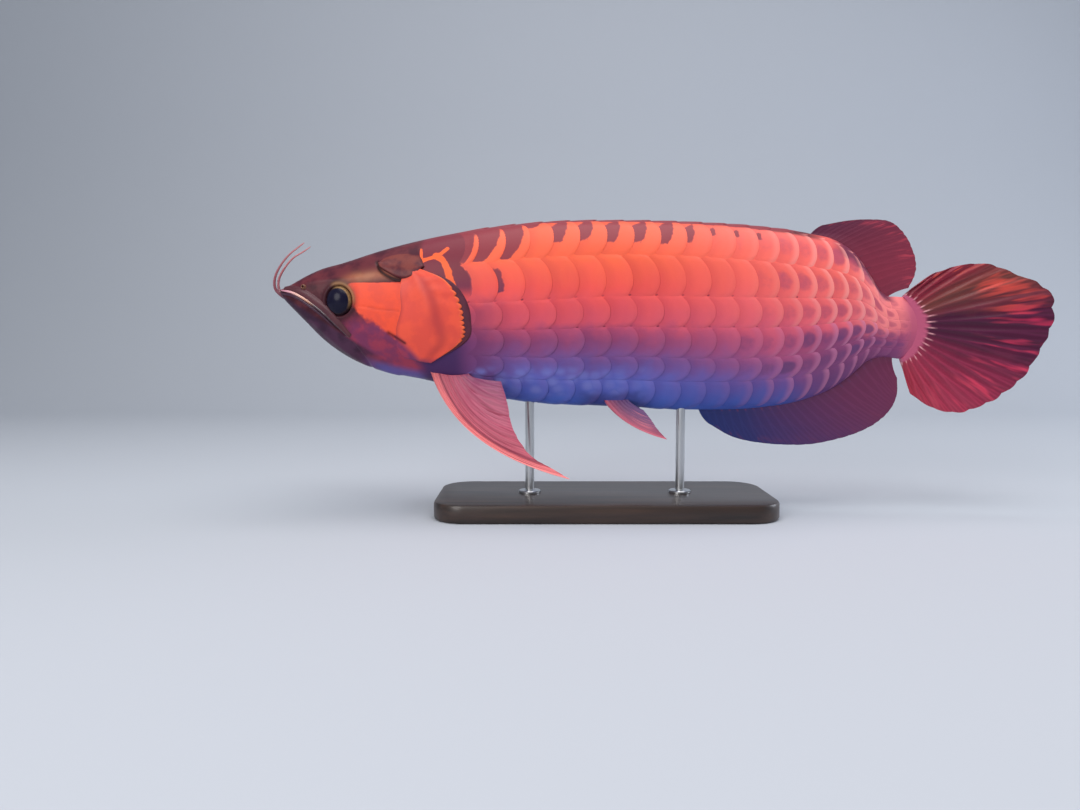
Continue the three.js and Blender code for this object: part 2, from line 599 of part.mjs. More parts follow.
// The dorsal fin stands far back, its rays swept over the tail's root.
const DORSAL = { from: 406, to: 466, sway: 2.2, swayTurn: 5, bow: [-1.5, 0, 2] };
const dorsalRoot = rootOn(topOf, DORSAL.from, DORSAL.to, 1);
const dorsalTip = planeLine(
  [[417, 71.6], [438, 75.4], [457, 76.2], [470, 74.4], [479, 67], [485, 57], [488.8, 45], [488.4, 34], [483.5, 23.5]],
  (s) => DORSAL.sway * Math.sin(DORSAL.swayTurn * s),
);
const dorsalFin = fittedFin({
  rays: 15,
  steps: 4,
  root: dorsalRoot,
  tip: dorsalTip,
  bow: middleOf(dorsalRoot, dorsalTip, () => DORSAL.bow),
  rootThick: 3,
  rayThick: 1.7,
  webThick: 0.8,
  edgeThick: 0.6,
});

// The anal fin starts further forward and reaches back to the tail's root.
const ANAL = { from: 323, to: 473, sway: 2, swayTurn: 6, bow: [-2, 0, -2] };
const analRoot = rootOn(bottomOf, ANAL.from, ANAL.to, -1);
const analTip = planeLine(
  [[332, -81.5], [352, -92.4], [378, -97.6], [408, -98.4], [434, -93.6], [457, -84.6], [471, -73], [477.6, -60], [478, -46]],
  (s) => ANAL.sway * Math.sin(ANAL.swayTurn * s),
);
const analFin = fittedFin({
  rays: 20,
  steps: 4,
  root: analRoot,
  tip: analTip,
  bow: middleOf(analRoot, analTip, () => ANAL.bow),
  rootThick: 3,
  rayThick: 1.6,
  webThick: 0.8,
  edgeThick: 0.6,
});

// The tail fin is a fan on the bowed end of the tail stalk.
const CAUDAL_HUB = { x: 475, z: -6 };
const CAUDAL = { rootFrom: 0.03, rootTo: 0.97, sway: 4, swayTurn: 7, spread: 4 };
const CAUDAL_ANGLES = [57, 45, 34, 23, 12, 3, -8, -20, -40, -56, -74];
const CAUDAL_RADII = [44, 66, 87, 104, 125, 124.4, 116, 108, 93.5, 81, 54];
const caudalRadius = curveThrough(CAUDAL_ANGLES.map((angle) => -angle), CAUDAL_RADII);
const caudalRoot = (s) => {
  const share = lerp(CAUDAL.rootFrom, CAUDAL.rootTo, s);
  const place = skinPoint(tailLine(share) - ROOT_DEPTH, share, 0);
  return new THREE.Vector3(place.x, 0, place.z);
};
const caudalTip = (s) => {
  const angle = lerp(CAUDAL_ANGLES[0], CAUDAL_ANGLES.at(-1), s);
  const radians = THREE.MathUtils.degToRad(angle);
  const radius = caudalRadius(-angle);
  const sway = CAUDAL.sway * Math.sin(CAUDAL.swayTurn * s);
  const [x, z] = [CAUDAL_HUB.x + radius * Math.cos(radians), CAUDAL_HUB.z + radius * Math.sin(radians)];
  return new THREE.Vector3(x, sway, z);
};
const caudalFin = fittedFin({
  rays: 16,
  steps: 6,
  root: caudalRoot,
  tip: caudalTip,
  bow: middleOf(caudalRoot, caudalTip, (s) => [0, 0, CAUDAL.spread * (1 - 2 * s)]),
  rootThick: 5,
  rayThick: 2,
  webThick: 0.9,
  edgeThick: 0.6,
});

// The paired fins grow from inside the flank.
const spaceLine = (corners) => {
  const places = corners.map((_, i) => i / (corners.length - 1));
  const [x, y, z] = [0, 1, 2].map((axis) => curveThrough(places, corners.map((c) => c[axis])));
  return (s) => new THREE.Vector3(x(s), y(s), z(s));
};

// Pectoral fins: long sickle blades with a strong leading ray. The left one is held out, down and back, and
// the right one is folded back along the flank.
const pectoralRoot = spaceLine([[117, 13, -42], [131, 16, -44.5], [146, 19, -44.5]]);
const spreadTip = spaceLine([
  [222.3, 62, -115.2],
  [209, 57, -108],
  [195, 52, -100.6],
  [185, 45.5, -89],
  [179, 39, -77],
  [175.6, 33.5, -63],
  [170, 29.6, -52],
]);
const spreadBow = spaceLine([[138, 38, -98], [146, 33, -80], [155, 27.5, -52]]);
const foldedTip = spaceLine([
  [246, 29, -62],
  [236, 29.5, -56],
  [222, 30, -49],
  [208, 30, -42.5],
  [196, 30, -37],
  [186, 29.5, -33],
  [176, 29, -31],
]);
const foldedBow = spaceLine([[175, 29, -72], [170, 27, -54], [162, 27, -40]]);
const pectoralFin = (tip, bow) =>
  fittedFin({
    rays: 8,
    steps: 8,
    root: pectoralRoot,
    tip,
    bow,
    rootThick: 4.4,
    rayThick: 2.4,
    webThick: 0.9,
    edgeThick: 0.6,
  });

// Pelvic fins: short triangular blades close to the keel.
const pelvicRoot = spaceLine([[247, 5, -61], [256, 6, -61], [265, 6.5, -61]]);
const pelvicTip = spaceLine([[296, 26, -91], [289, 23.4, -83.5], [284, 19.4, -76], [279, 15.6, -69.6]]);
const pelvicBow = spaceLine([[261, 17, -83], [267, 14, -75], [271, 11.5, -66.4]]);
const pelvicFin = fittedFin({
  rays: 6,
  steps: 4,
  root: pelvicRoot,
  tip: pelvicTip,
  bow: pelvicBow,
  rootThick: 3.4,
  rayThick: 1.8,
  webThick: 0.9,
  edgeThick: 0.6,
});

// The stand: a flat base with a rounded outline and two plain rods up to the keel.
const BASE = { from: 120, to: 380, halfWidth: 52, corner: 24, bevel: 2 };
const ROD_RADIUS = 3.5;
const ROD_PLACES = { front: 192, rear: 310 };
const ROD_SIDES = 20;
const ROD_INTO_KEEL = 8;
const floorLevel = -AXIS_HEIGHT;
function standBase() {
  const { from, to, halfWidth, corner, bevel } = BASE;
  const [left, right, low, high] = [from + bevel, to - bevel, -halfWidth + bevel, halfWidth - bevel];
  const round = corner - bevel;
  const outline = new THREE.Shape()
    .absarc(right - round, high - round, round, 0, Math.PI / 2)
    .absarc(left + round, high - round, round, Math.PI / 2, Math.PI)
    .absarc(left + round, low + round, round, Math.PI, 1.5 * Math.PI)
    .absarc(right - round, low + round, round, 1.5 * Math.PI, 2 * Math.PI);
  const slab = new THREE.ExtrudeGeometry(outline, {
    depth: BASE_THICK - 2 * bevel,
    bevelThickness: bevel,
    bevelSize: bevel,
    bevelSegments: 1,
    curveSegments: 5,
  });
  return slab.translate(0, 0, floorLevel + bevel);
}
function rod(x) {
  const foot = floorLevel + BASE_THICK + SEAM;
  const length = bottomOf(x) + ROD_INTO_KEEL - foot;
  const bar = new THREE.CylinderGeometry(ROD_RADIUS, ROD_RADIUS, length, ROD_SIDES);
  bar.rotateX(Math.PI / 2).translate(x, 0, foot + length / 2);
  return geometryFrom(byVolume(solidOf(bar).subtract(grownTrunk))[0]);
}

// Finishes
const finish = (color, roughness, metalness = 0) =>
  new THREE.MeshStandardMaterial({ color, roughness, metalness, flatShading: true });
const scaledSkin = finish(0xd8503c, 0.42);
const headSkin = finish(0xb0603f, 0.4);
const jawSkin = finish(0x54405a, 0.45);
const coverBone = finish(0xe2533a, 0.35);
const finWeb = finish(0x9c2430, 0.5);
const paleFinWeb = finish(0xcf6a70, 0.5);
const eyeGlass = finish(0x16120f, 0.1);
const standWood = finish(0x2a211d, 0.5);
const rodSteel = finish(0xb9bbbe, 0.3, 0.9);

function named(name, geometry, material) {
  const mesh = new THREE.Mesh(geometry, material);
  mesh.name = name;
  return mesh;
}
const fish = new THREE.Group();
fish.add(
  named("head", geometryFrom(head), headSkin),
  named("lower_jaw", geometryFrom(lowerJaw), jawSkin),
  named("gill_cover_right", gillCover, coverBone),
  named("gill_cover_left", mirrored(gillCover), coverBone),
  named("eye_right", eyeball(1, 0), eyeGlass),
  named("eye_left", eyeball(-1, 0), eyeGlass),
  named("barbel_right", barbel(1, BARBEL_LEAN.right), jawSkin),
  named("barbel_left", barbel(-1, BARBEL_LEAN.left), jawSkin),
  named("torso_front", torsoFront, scaledSkin),
  named("torso_rear", torsoRear, scaledSkin),
  named("tail_stalk", tailStalk, scaledSkin),
  named("dorsal_fin", dorsalFin, finWeb),
  named("anal_fin", analFin, finWeb),
  named("caudal_fin", caudalFin, finWeb),
  named("pectoral_fin_right", pectoralFin(foldedTip, foldedBow), paleFinWeb),
  named("pectoral_fin_left", mirrored(pectoralFin(spreadTip, spreadBow)), paleFinWeb),
  named("pelvic_fin_right", pelvicFin, paleFinWeb),
  named("pelvic_fin_left", mirrored(pelvicFin), paleFinWeb),
  named("stand_base", standBase(), standWood),
  named("stand_rod_front", rod(ROD_PLACES.front), rodSteel),
  named("stand_rod_rear", rod(ROD_PLACES.rear), rodSteel),
);
const middle = new THREE.Box3().setFromObject(fish).getCenter(new THREE.Vector3());
fish.position.set(-middle.x, -middle.y, AXIS_HEIGHT);
const model = new THREE.Group();
model.add(fish);
export default model;
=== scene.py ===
import math

import bpy
import numpy as np
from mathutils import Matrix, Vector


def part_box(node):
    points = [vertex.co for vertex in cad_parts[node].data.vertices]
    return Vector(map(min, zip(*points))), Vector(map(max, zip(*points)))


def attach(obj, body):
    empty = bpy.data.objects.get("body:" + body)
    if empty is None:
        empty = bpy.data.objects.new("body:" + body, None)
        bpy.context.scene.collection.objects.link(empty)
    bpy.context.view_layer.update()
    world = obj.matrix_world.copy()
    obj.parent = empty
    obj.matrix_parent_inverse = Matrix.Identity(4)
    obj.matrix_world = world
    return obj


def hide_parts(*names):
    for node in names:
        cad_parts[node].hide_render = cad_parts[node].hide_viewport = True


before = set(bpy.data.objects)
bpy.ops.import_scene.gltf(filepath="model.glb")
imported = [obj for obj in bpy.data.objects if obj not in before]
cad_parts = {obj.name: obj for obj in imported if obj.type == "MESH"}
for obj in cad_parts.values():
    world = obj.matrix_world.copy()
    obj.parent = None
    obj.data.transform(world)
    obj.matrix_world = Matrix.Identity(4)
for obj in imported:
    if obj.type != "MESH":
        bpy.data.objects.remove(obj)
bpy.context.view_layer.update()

# Stand base
# A board of dark stained wood with rounded corners and softened edges, which lies on the floor and carries
# the rods. Its place gives the way from the fish's own frame, in millimetres, to the shared frame: there
# x = 0 is the tip of the mouth, z = 0 the long axis of the body, and the base lies under x = 250.
MM = 0.001
BASE_MIDDLE_X = 250
AXIS_HEIGHT = 150
BASE_THICK = 14
BASE_CORNER = 24
CORNER_STEPS = 12
BASE_PROFILE = [(2.6, 0), (0.8, 0.5), (0, 2), (0, 12), (0.8, 13.4), (2.6, 14)]
WOOD_TONES = [(0.32, (0.014, 0.007, 0.005)), (0.55, (0.035, 0.017, 0.011)), (0.75, (0.06, 0.03, 0.018))]
GRAIN_STRETCH = (0.16, 2.6, 2.6)
base_low, base_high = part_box("stand_base")
base_middle = (base_low + base_high) / 2
base_half = (base_high - base_low) / 2
FISH_ORIGIN = np.array([base_middle.x / MM - BASE_MIDDLE_X, base_middle.y / MM, AXIS_HEIGHT])


def make_piece(name, points, faces, material, slot, maps=None, masks=None, caps=(), sharp=50):
    """A smooth-shaded mesh riding on the root, from fish-frame points (n, 3), quads (m, 4) and end caps.

    The faces are turned so that the volume they close, summed over a.(b x c) from the middle, is positive.
    """
    points = np.reshape(points, (-1, 3)).astype(float)
    faces = np.reshape(faces, (-1, 4))
    a, b, c, d = (points[faces[:, k]] - points.mean(axis=0) for k in range(4))
    volume = np.sum(a * np.cross(b, c)) + np.sum(a * np.cross(c, d))
    loops = faces.tolist() + [list(cap) for cap in caps]
    if volume < 0:
        loops = [loop[::-1] for loop in loops]
    mesh = bpy.data.meshes.new(name)
    mesh.from_pydata((points + FISH_ORIGIN) * MM, [], loops)
    corners = np.empty(len(mesh.loops), np.int32)
    mesh.loops.foreach_get("vertex_index", corners)
    for map_name, places in (maps or {}).items():
        layer = mesh.uv_layers.new(name=map_name)
        values = np.reshape(places, (-1, 2))[corners]
        layer.data.foreach_set("uv", values.astype(np.float32).ravel())
    for mask_name, values in (masks or {}).items():
        layer = mesh.attributes.new(mask_name, "FLOAT", "POINT")
        layer.data.foreach_set("value", np.ravel(values).astype(np.float32))
    mesh.shade_smooth()
    mesh.set_sharp_from_angle(angle=math.radians(sharp))
    mesh.materials.append(material)
    piece = bpy.data.objects.new(name, mesh)
    bpy.context.scene.collection.objects.link(piece)
    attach(piece, "root")
    return piece


def ring_faces(rings, around):
    """Quads between rings of points that close on themselves, and the two end caps."""
    i, j = np.arange(rings - 1)[:, None] * around, np.arange(around)[None, :]
    after = (j + 1) % around
    quads = np.stack([i + j, i + after, i + around + after, i + around + j], axis=-1).reshape(-1, 4)
    return quads, (range(around)[::-1], range((rings - 1) * around, rings * around))


def rounded_outline(half_x, half_y, radius):
    """A rectangle's outline with quarter circles at the corners, anticlockwise."""
    turn = np.linspace(0, np.pi / 2, CORNER_STEPS)
    starts = np.array([0, 1, 2, 3])[:, None] * np.pi / 2
    angle = (starts + turn).ravel()
    centre = np.repeat([[1, 1], [-1, 1], [-1, -1], [1, -1]], CORNER_STEPS, axis=0)
    middle = centre * [half_x - radius, half_y - radius]
    return middle + radius * np.stack([np.cos(angle), np.sin(angle)], axis=-1)


def add_node(tree, kind, inputs=None, **settings):
    """A new node of that kind. An input is a value, or an output socket to be joined."""
    node = tree.nodes.new(kind)
    for key, value in settings.items():
        setattr(node, key, value)
    for key, value in (inputs or {}).items():
        if isinstance(value, bpy.types.NodeSocket):
            tree.links.new(value, node.inputs[key])
        else:
            node.inputs[key].default_value = value
    return node


def new_material(name, roughness, colour=(0.8, 0.8, 0.8), **constants):
    """A material with a Principled shader set to constants, with its tree and the shader node."""
    material = bpy.data.materials.new(name)
    material.use_nodes = True
    shader = material.node_tree.nodes["Principled BSDF"]
    shader.inputs["Base Color"].default_value = (*colour, 1)
    shader.inputs["Roughness"].default_value = roughness
    for key, value in constants.items():
        shader.inputs[key.replace("_", " ")].default_value = value
    return material, material.node_tree, shader


def colour_ramp(tree, value, stops):
    """A ramp over value: stops are (position 0..1, colour)."""
    node = add_node(tree, "ShaderNodeValToRGB", {"Fac": value})
    ramp = node.color_ramp
    while len(ramp.elements) < len(stops):
        ramp.elements.new(1)
    for element, (place, tone) in zip(ramp.elements, stops):
        element.position = place
        element.color = (*tone, 1)
    return node.outputs["Color"]


def stretched(tree, place, stretch):
    """A place with each of its axes stretched."""
    return add_node(tree, "ShaderNodeMapping", {"Vector": place, "Scale": stretch}).outputs[0]


def object_place(tree):
    """The object's own coordinates in metres."""
    return add_node(tree, "ShaderNodeTexCoord").outputs["Object"]


def noise_value(tree, scale, detail=4.0, vector=None):
    """Noise over the object's own coordinates, or over the vector given."""
    vector = object_place(tree) if vector is None else vector
    inputs = {"Vector": vector, "Scale": scale, "Detail": detail}
    return add_node(tree, "ShaderNodeTexNoise", inputs).outputs[0]


def bumped(tree, height, strength, distance):
    """The normal bent by a height map, with its full height in metres."""
    inputs = {"Height": height, "Strength": strength, "Distance": distance}
    return add_node(tree, "ShaderNodeBump", inputs).outputs["Normal"]


def paint(tree, shader, tone, relief=None, strength=0.0, depth=0.0):
    """Joins a colour to a shader, and a relief, where there is one, with its strength and depth in metres."""
    tree.links.new(tone, shader.inputs["Base Color"])
    if relief is not None:
        tree.links.new(bumped(tree, relief, strength, depth), shader.inputs["Normal"])


stained_wood, tree, shader = new_material("stained wood", 0.42, Coat_Weight=0.25, Coat_Roughness=0.2)
grain = noise_value(tree, 60, 6, stretched(tree, object_place(tree), GRAIN_STRETCH))
paint(tree, shader, colour_ramp(tree, grain, WOOD_TONES), grain, 0.25, 0.0004)

slab_rings = [
    np.column_stack([
        rounded_outline(base_half.x / MM - inset, base_half.y / MM - inset, BASE_CORNER - inset)
        + [BASE_MIDDLE_X, 0],
        np.full(4 * CORNER_STEPS, height - AXIS_HEIGHT),
    ])
    for inset, height in BASE_PROFILE
]
quads, caps = ring_faces(len(BASE_PROFILE), 4 * CORNER_STEPS)
base = make_piece("base_board", np.array(slab_rings), quads, stained_wood, "stand_base", caps=caps, sharp=40)
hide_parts("stand_base")

# Stand rods
# Two plain rods of brushed steel, each with a flat collar on the board, which run up into the keel.
ROD_RADIUS = 3.5
ROD_STEPS = 40
COLLAR = [(8.5, 0.2), (8.5, 1.6), (8, 2.1), (3.9, 2.3)]
COLLAR_TOP = 2.6
ROD_INTO_KEEL = 6
ROD_PLACES = {"stand_rod_front": 192, "stand_rod_rear": 310}
BRUSH_STRETCH = (1, 1, 0.03)

# The body's outline and girth at each station from the mouth to the tail fin: distance, top and bottom, half
# width, how far down the widest level is, and how square the section is above and below it.
STATIONS = np.array([
    (0, 22.2, 19, 3, 0.5, 2.2, 2.2),
    (2, 23, 16.4, 6.4, 0.5, 2.3, 2.2),
    (6, 24.6, 11.6, 9.6, 0.5, 2.5, 2.2),
    (12, 27.6, 5.4, 12.4, 0.5, 2.7, 2.2),
    (20, 32, -3, 15, 0.48, 2.8, 2.1),
    (32, 37.4, -15.4, 18, 0.46, 2.9, 2),
    (50, 42.5, -28.6, 21.6, 0.46, 2.9, 2),
    (80, 52, -40.6, 26, 0.47, 2.8, 2),
    (112, 60.2, -47.4, 29, 0.47, 2.6, 2),
    (150, 67.4, -57.6, 31.6, 0.45, 2.5, 1.9),
    (200, 73.2, -65, 33, 0.43, 2.4, 1.75),
    (260, 74.6, -67.4, 33, 0.42, 2.4, 1.65),
    (320, 73.3, -70.6, 31, 0.43, 2.3, 1.6),
    (370, 70, -69.2, 26.5, 0.45, 2.2, 1.65),
    (405, 65.4, -63, 20.8, 0.47, 2.1, 1.8),
    (430, 58.4, -52.4, 15.6, 0.5, 2, 1.9),
    (444, 48, -41.8, 12.6, 0.5, 2, 2),
    (454, 34, -32.8, 10.6, 0.5, 2, 2),
    (464, 19.6, -29.6, 8.6, 0.5, 2.1, 2.1),
    (476, 17, -30.6, 6.4, 0.5, 2.3, 2.3),
    (500, 19.6, -34.6, 3, 0.5, 2.6, 2.6),
])


def curve_through(positions, values):
    """A smooth curve through values at growing positions: cubic, with parabola tangents."""
    places, heights = np.asarray(positions, float), np.asarray(values, float)
    step = np.diff(places)
    slope = np.diff(heights) / step
    tangent = np.empty_like(heights)
    tangent[0], tangent[-1] = slope[0], slope[-1]
    tangent[1:-1] = (step[1:] * slope[:-1] + step[:-1] * slope[1:]) / (step[:-1] + step[1:])

    def curve(at):
        at = np.clip(at, places[0], places[-1])
        i = np.clip(np.searchsorted(places, at, side="right") - 1, 0, len(step) - 1)
        u = (at - places[i]) / step[i]
        from_here = heights[i] * (1 + 2 * u) * (1 - u) ** 2 + tangent[i] * step[i] * u * (1 - u) ** 2
        to_next = heights[i + 1] * u * u * (3 - 2 * u) + tangent[i + 1] * step[i] * u * u * (u - 1)
        return from_here + to_next

    return curve


top_of, bottom_of, half_of, widest_of, square_top_of, square_bottom_of = (
    curve_through(STATIONS[:, 0], STATIONS[:, k]) for k in range(1, 7)
)

brushed_steel, tree, shader = new_material("brushed steel", 0.28, (0.56, 0.57, 0.58), Metallic=1.0)
brushing = noise_value(tree, 900, 2, stretched(tree, object_place(tree), BRUSH_STRETCH))
tree.links.new(bumped(tree, brushing, 0.1, 0.0001), shader.inputs["Normal"])
for rod_node, rod_x in ROD_PLACES.items():
    rod_profile = np.array(COLLAR + [(ROD_RADIUS, COLLAR_TOP), (ROD_RADIUS, 0)])
    rod_profile[:, 1] += BASE_THICK - AXIS_HEIGHT
    rod_profile[-1, 1] = bottom_of(rod_x) + ROD_INTO_KEEL
    turn = np.arange(ROD_STEPS) * 2 * np.pi / ROD_STEPS
    rod_points = np.stack([
        rod_x + rod_profile[:, :1] * np.cos(turn),
        rod_profile[:, :1] * np.sin(turn),
        np.repeat(rod_profile[:, 1:], ROD_STEPS, axis=1),
    ], axis=-1)
    quads, caps = ring_faces(len(rod_profile), ROD_STEPS)
    rod = make_piece(rod_node + "_bar", rod_points, quads, brushed_steel, "stand_rod", caps=caps, sharp=35)
    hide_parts(rod_node)

# Body skin
# The soft skin of the whole fish from the snout to the root of the tail fin, one seamless hide over the
# flesh. It is bare on the head, throat and chest, and lies under the scales on the trunk.
SKIN_SPACING = [(0, 12, 0.4), (12, 108, 0.56), (108, 152, 1.1), (152, 470, 5), (470, 501, 1.5)]
SKIN_X = np.concatenate([np.arange(*span) for span in SKIN_SPACING])
SKIN_SIDE_STEPS = 140
SECTION_SAMPLES = 96
TABLE_STEP = 0.5
TABLE_X = np.arange(-1, 505, TABLE_STEP)
TABLE_SHARES = np.linspace(0, 1, 401)
TAIL_END, TAIL_BOW = 482, 12
TAIL_NARROW = 0.88
SKIN_END = (476, 501)
MOUTH_CORNERS = [(-6, 21.4), (4, 20.3), (13.5, 18.2), (25, 11.8), (38.5, 1.2), (55.5, -15.5)]
THROAT_CORNERS = [(55.5, -15.5), (65, -28), (71, -40), (74, -60)]
EYE = {"x": 49.6, "z": 13, "radius": 12, "narrow": 0.9, "depth": 8, "bulge": 3.4, "turn": 0.17}
SOCKET_DEPTH, SOCKET_WALL, SOCKET_RIM = 5.0, (10.7, 11.7), 12.9
LINE_SAMPLES = 80
LIE_LENGTH = 500


def body_tables():
    """Points and outward normals of the right flank over distance and the share round from back to keel.

    Each half of a section is a quarter of y = h(1 - t^n)^(1/n), walked by its length.
    """
    x = TABLE_X[:, None]
    top, bottom = top_of(x), bottom_of(x)
    level = top + (bottom - top) * widest_of(x)
    angle = np.pi * np.arange(SECTION_SAMPLES + 1) / SECTION_SAMPLES
    upper = angle <= np.pi / 2
    power = 2 / np.where(upper, square_top_of(x), square_bottom_of(x))
    y = half_of(x) * np.clip(np.sin(angle), 0, 1) ** power
    y[:, -1] = 0
    z = level + np.where(upper, top - level, bottom - level) * np.abs(np.cos(angle)) ** power
    steps = np.hypot(np.diff(y, axis=1), np.diff(z, axis=1))
    reach = np.concatenate([np.zeros_like(x), np.cumsum(steps, axis=1)], axis=1)
    reach /= reach[:, -1:]
    even_y = [np.interp(TABLE_SHARES, r, row) for r, row in zip(reach, y)]
    even_z = [np.interp(TABLE_SHARES, r, row) for r, row in zip(reach, z)]
    points = np.stack([np.broadcast_to(x, (len(TABLE_X), len(TABLE_SHARES))), even_y, even_z], axis=-1)
    along, round_ = np.gradient(points, axis=0), np.gradient(points, axis=1)
    round_[:, 0], round_[:, -1] = (0, 1, 0), (0, -1, 0)
    normals = np.cross(along, round_)
    normals[:, [0, -1], 1] = 0
    return points, normals / np.linalg.norm(normals, axis=-1, keepdims=True)


BODY_POINTS, BODY_NORMALS = body_tables()


def look_up(table, x, share):
    """The table's value between its entries, bilinear in distance and share."""
    x, share = np.broadcast_arrays(np.asarray(x, float), np.asarray(share, float))
    i = np.clip((x - TABLE_X[0]) / TABLE_STEP, 0, len(TABLE_X) - 1.001)
    j = np.clip(share * (len(TABLE_SHARES) - 1), 0, len(TABLE_SHARES) - 1.001)
    i0, j0 = i.astype(int), j.astype(int)
    u, v = (i - i0)[..., None], (j - j0)[..., None]
    near = table[i0, j0] * (1 - u) + table[i0 + 1, j0] * u
    far = table[i0, j0 + 1] * (1 - u) + table[i0 + 1, j0 + 1] * u
    return near * (1 - v) + far * v


def body_point(x, share, raised=0.0, side=1):
    """A point on the body at distance x and share round it, raised along the normal, on side +1 or -1."""
    normal = look_up(BODY_NORMALS, x, share)
    normal /= np.linalg.norm(normal, axis=-1, keepdims=True)
    point = look_up(BODY_POINTS, x, share) + normal * np.asarray(raised, float)[..., None]
    return point * np.array([1, side, 1])


def smooth_step(value, low, high):
    """0 below low, 1 above high, 3t^2 - 2t^3 between."""
    t = np.clip((value - low) / (high - low), 0, 1)
    return t * t * (3 - 2 * t)


def band(value, rise, fall):
    """Up from 0 to 1 over the span rise, and down again over the span fall."""
    return smooth_step(value, *rise) * (1 - smooth_step(value, *fall))


def mound(distance, width):
    """exp(-(d/w)^2)."""
    return np.exp(-((distance / width) ** 2))


def tail_taper(x, share):
    """How far the body's width is drawn in where it runs out over the tail fin's rays, 1 to 0.12."""
    past_end = x - TAIL_END - TAIL_BOW * np.sin(np.pi * share)
    return 1 - TAIL_NARROW * smooth_step(past_end, -12, 8)


def line_through(corners):
    """A smooth line through corners, as a function of the share of the way along them."""
    corners = np.asarray(corners, float)
    places = np.linspace(0, 1, len(corners))
    axes = [curve_through(places, corners[:, k]) for k in range(corners.shape[1])]
    return lambda share: np.stack([axis(share) for axis in axes], axis=-1)


def distance_to(line, x, z, low=0.0, high=1.0):
    """The side-view distance from (x, z) to the nearest sample of a line."""
    samples = line(np.linspace(low, high, LINE_SAMPLES))
    return np.min([np.hypot(x - a, z - b) for a, b in samples], axis=0)


MOUTH = line_through(MOUTH_CORNERS)
THROAT = line_through(THROAT_CORNERS)
JAW_CREASE = line_through([(30, -4), (44, -17.5), (58, -29), (72, -37), (90, -43)])
BROW = line_through([(24, 27), (36, 28.5), (50, 28.6), (66, 30)])
CHEEK_SEAM = line_through([(65, 8.6), (73, 8), (82, 6.4), (95, 5.4)])
CHEEK_SLIT = line_through([(87, -11), (93, -14.6), (99, -18.4)])
NAPE_LOW = line_through([(78.5, 41.5), (81, 35.6), (87, 31), (96, 27.6), (106, 29), (113, 34)])
# Ridges and grooves of the head: the line, its height, its half width, and the share of the line it takes.
HEAD_LINES = [
    (MOUTH, -2.4, 0.7, 0.1, 0.97), (THROAT, -0.7, 1.2, 0.1, 0.8), (JAW_CREASE, 0.7, 2.4, 0, 1),
    (BROW, 0.6, 2.6, 0, 1), (CHEEK_SEAM, -0.15, 0.8, 0, 1), (CHEEK_SLIT, -1.0, 0.9, 0, 1),
    (NAPE_LOW, -1.2, 1.0, 0, 1),
]

right_shares = np.linspace(0, 1, SKIN_SIDE_STEPS + 1)
skin_shares = np.concatenate([right_shares, right_shares[-2:0:-1]])
skin_sides = np.concatenate([np.ones(SKIN_SIDE_STEPS + 1), -np.ones(SKIN_SIDE_STEPS - 1)])
skin_x, skin_share = np.meshgrid(SKIN_X, skin_shares, indexing="ij")
skin_x = skin_x - TAIL_BOW * (1 - np.sin(np.pi * skin_share)) * smooth_step(skin_x, *SKIN_END)
bare = look_up(BODY_POINTS, skin_x, skin_share)
view_x, view_z = bare[..., 0], bare[..., 2]
on_head = 1 - smooth_step(view_x, 112, 122)
eye_away = np.hypot((view_x - EYE["x"]) / EYE["narrow"], view_z - EYE["z"])
cheek_rise = (
    band(view_x, (60, 66), (100, 108))
    * (1 - smooth_step(view_z, 25, 28))
    * smooth_step(view_z + 0.3 * view_x, 6, 11)
)
head_lines = sum(
    height * mound(distance_to(line, view_x, view_z, low, high), width)
    for line, height, width, low, high in HEAD_LINES
)
skin_height = on_head * (
    head_lines
    - SOCKET_DEPTH * (1 - smooth_step(eye_away, *SOCKET_WALL))
    + 0.6 * mound(eye_away - SOCKET_RIM, 1.4)
    + 0.5 * cheek_rise
)
skin_points = body_point(skin_x, skin_share, skin_height)
skin_points[..., 1] *= skin_sides * tail_taper(skin_x, skin_share)


def mix_colours(tree, share, first, second, blend_type="MIX"):
    """Two colours mixed by share."""
    node = add_node(tree, "ShaderNodeMix", data_type="RGBA", blend_type=blend_type)
    for socket, value in ((node.inputs[0], share), (node.inputs[6], first), (node.inputs[7], second)):
        if isinstance(value, bpy.types.NodeSocket):
            tree.links.new(value, socket)
        elif isinstance(value, tuple):
            socket.default_value = (*value, 1)
        else:
            socket.default_value = value
    return node.outputs[2]


def math_node(tree, operation, first, second=0.0, third=0.0):
    """One Math node's result."""
    inputs = {0: first, 1: second, 2: third}
    return add_node(tree, "ShaderNodeMath", inputs, operation=operation).outputs[0]


def smooth_range(tree, value, low, high, to_low=0.0, to_high=1.0):
    """value mapped smoothly from low..high to to_low..to_high."""
    inputs = {"Value": value, "From Min": low, "From Max": high, "To Min": to_low, "To Max": to_high}
    return add_node(tree, "ShaderNodeMapRange", inputs, interpolation_type="SMOOTHSTEP").outputs[0]


def product(tree, first, *others):
    """All the values multiplied."""
    for other in others:
        first = math_node(tree, "MULTIPLY", first, other)
    return first


def mask_value(tree, name):
    """The piece's own mask of that name."""
    return add_node(tree, "ShaderNodeAttribute", attribute_name=name).outputs["Fac"]


def map_parts(tree, name):
    """The piece's own map of that name, and its two directions."""
    place = add_node(tree, "ShaderNodeUVMap", uv_map=name).outputs["UV"]
    parts = add_node(tree, "ShaderNodeSeparateXYZ", {0: place}).outputs
    return place, parts[0], parts[1]


def layered(tree, tone, layers):
    """A colour with others laid over it in turn, each with its share or the name of its mask."""
    for share, over in layers:
        share = mask_value(tree, share) if isinstance(share, str) else share
        tone = mix_colours(tree, share, tone, over)
    return tone


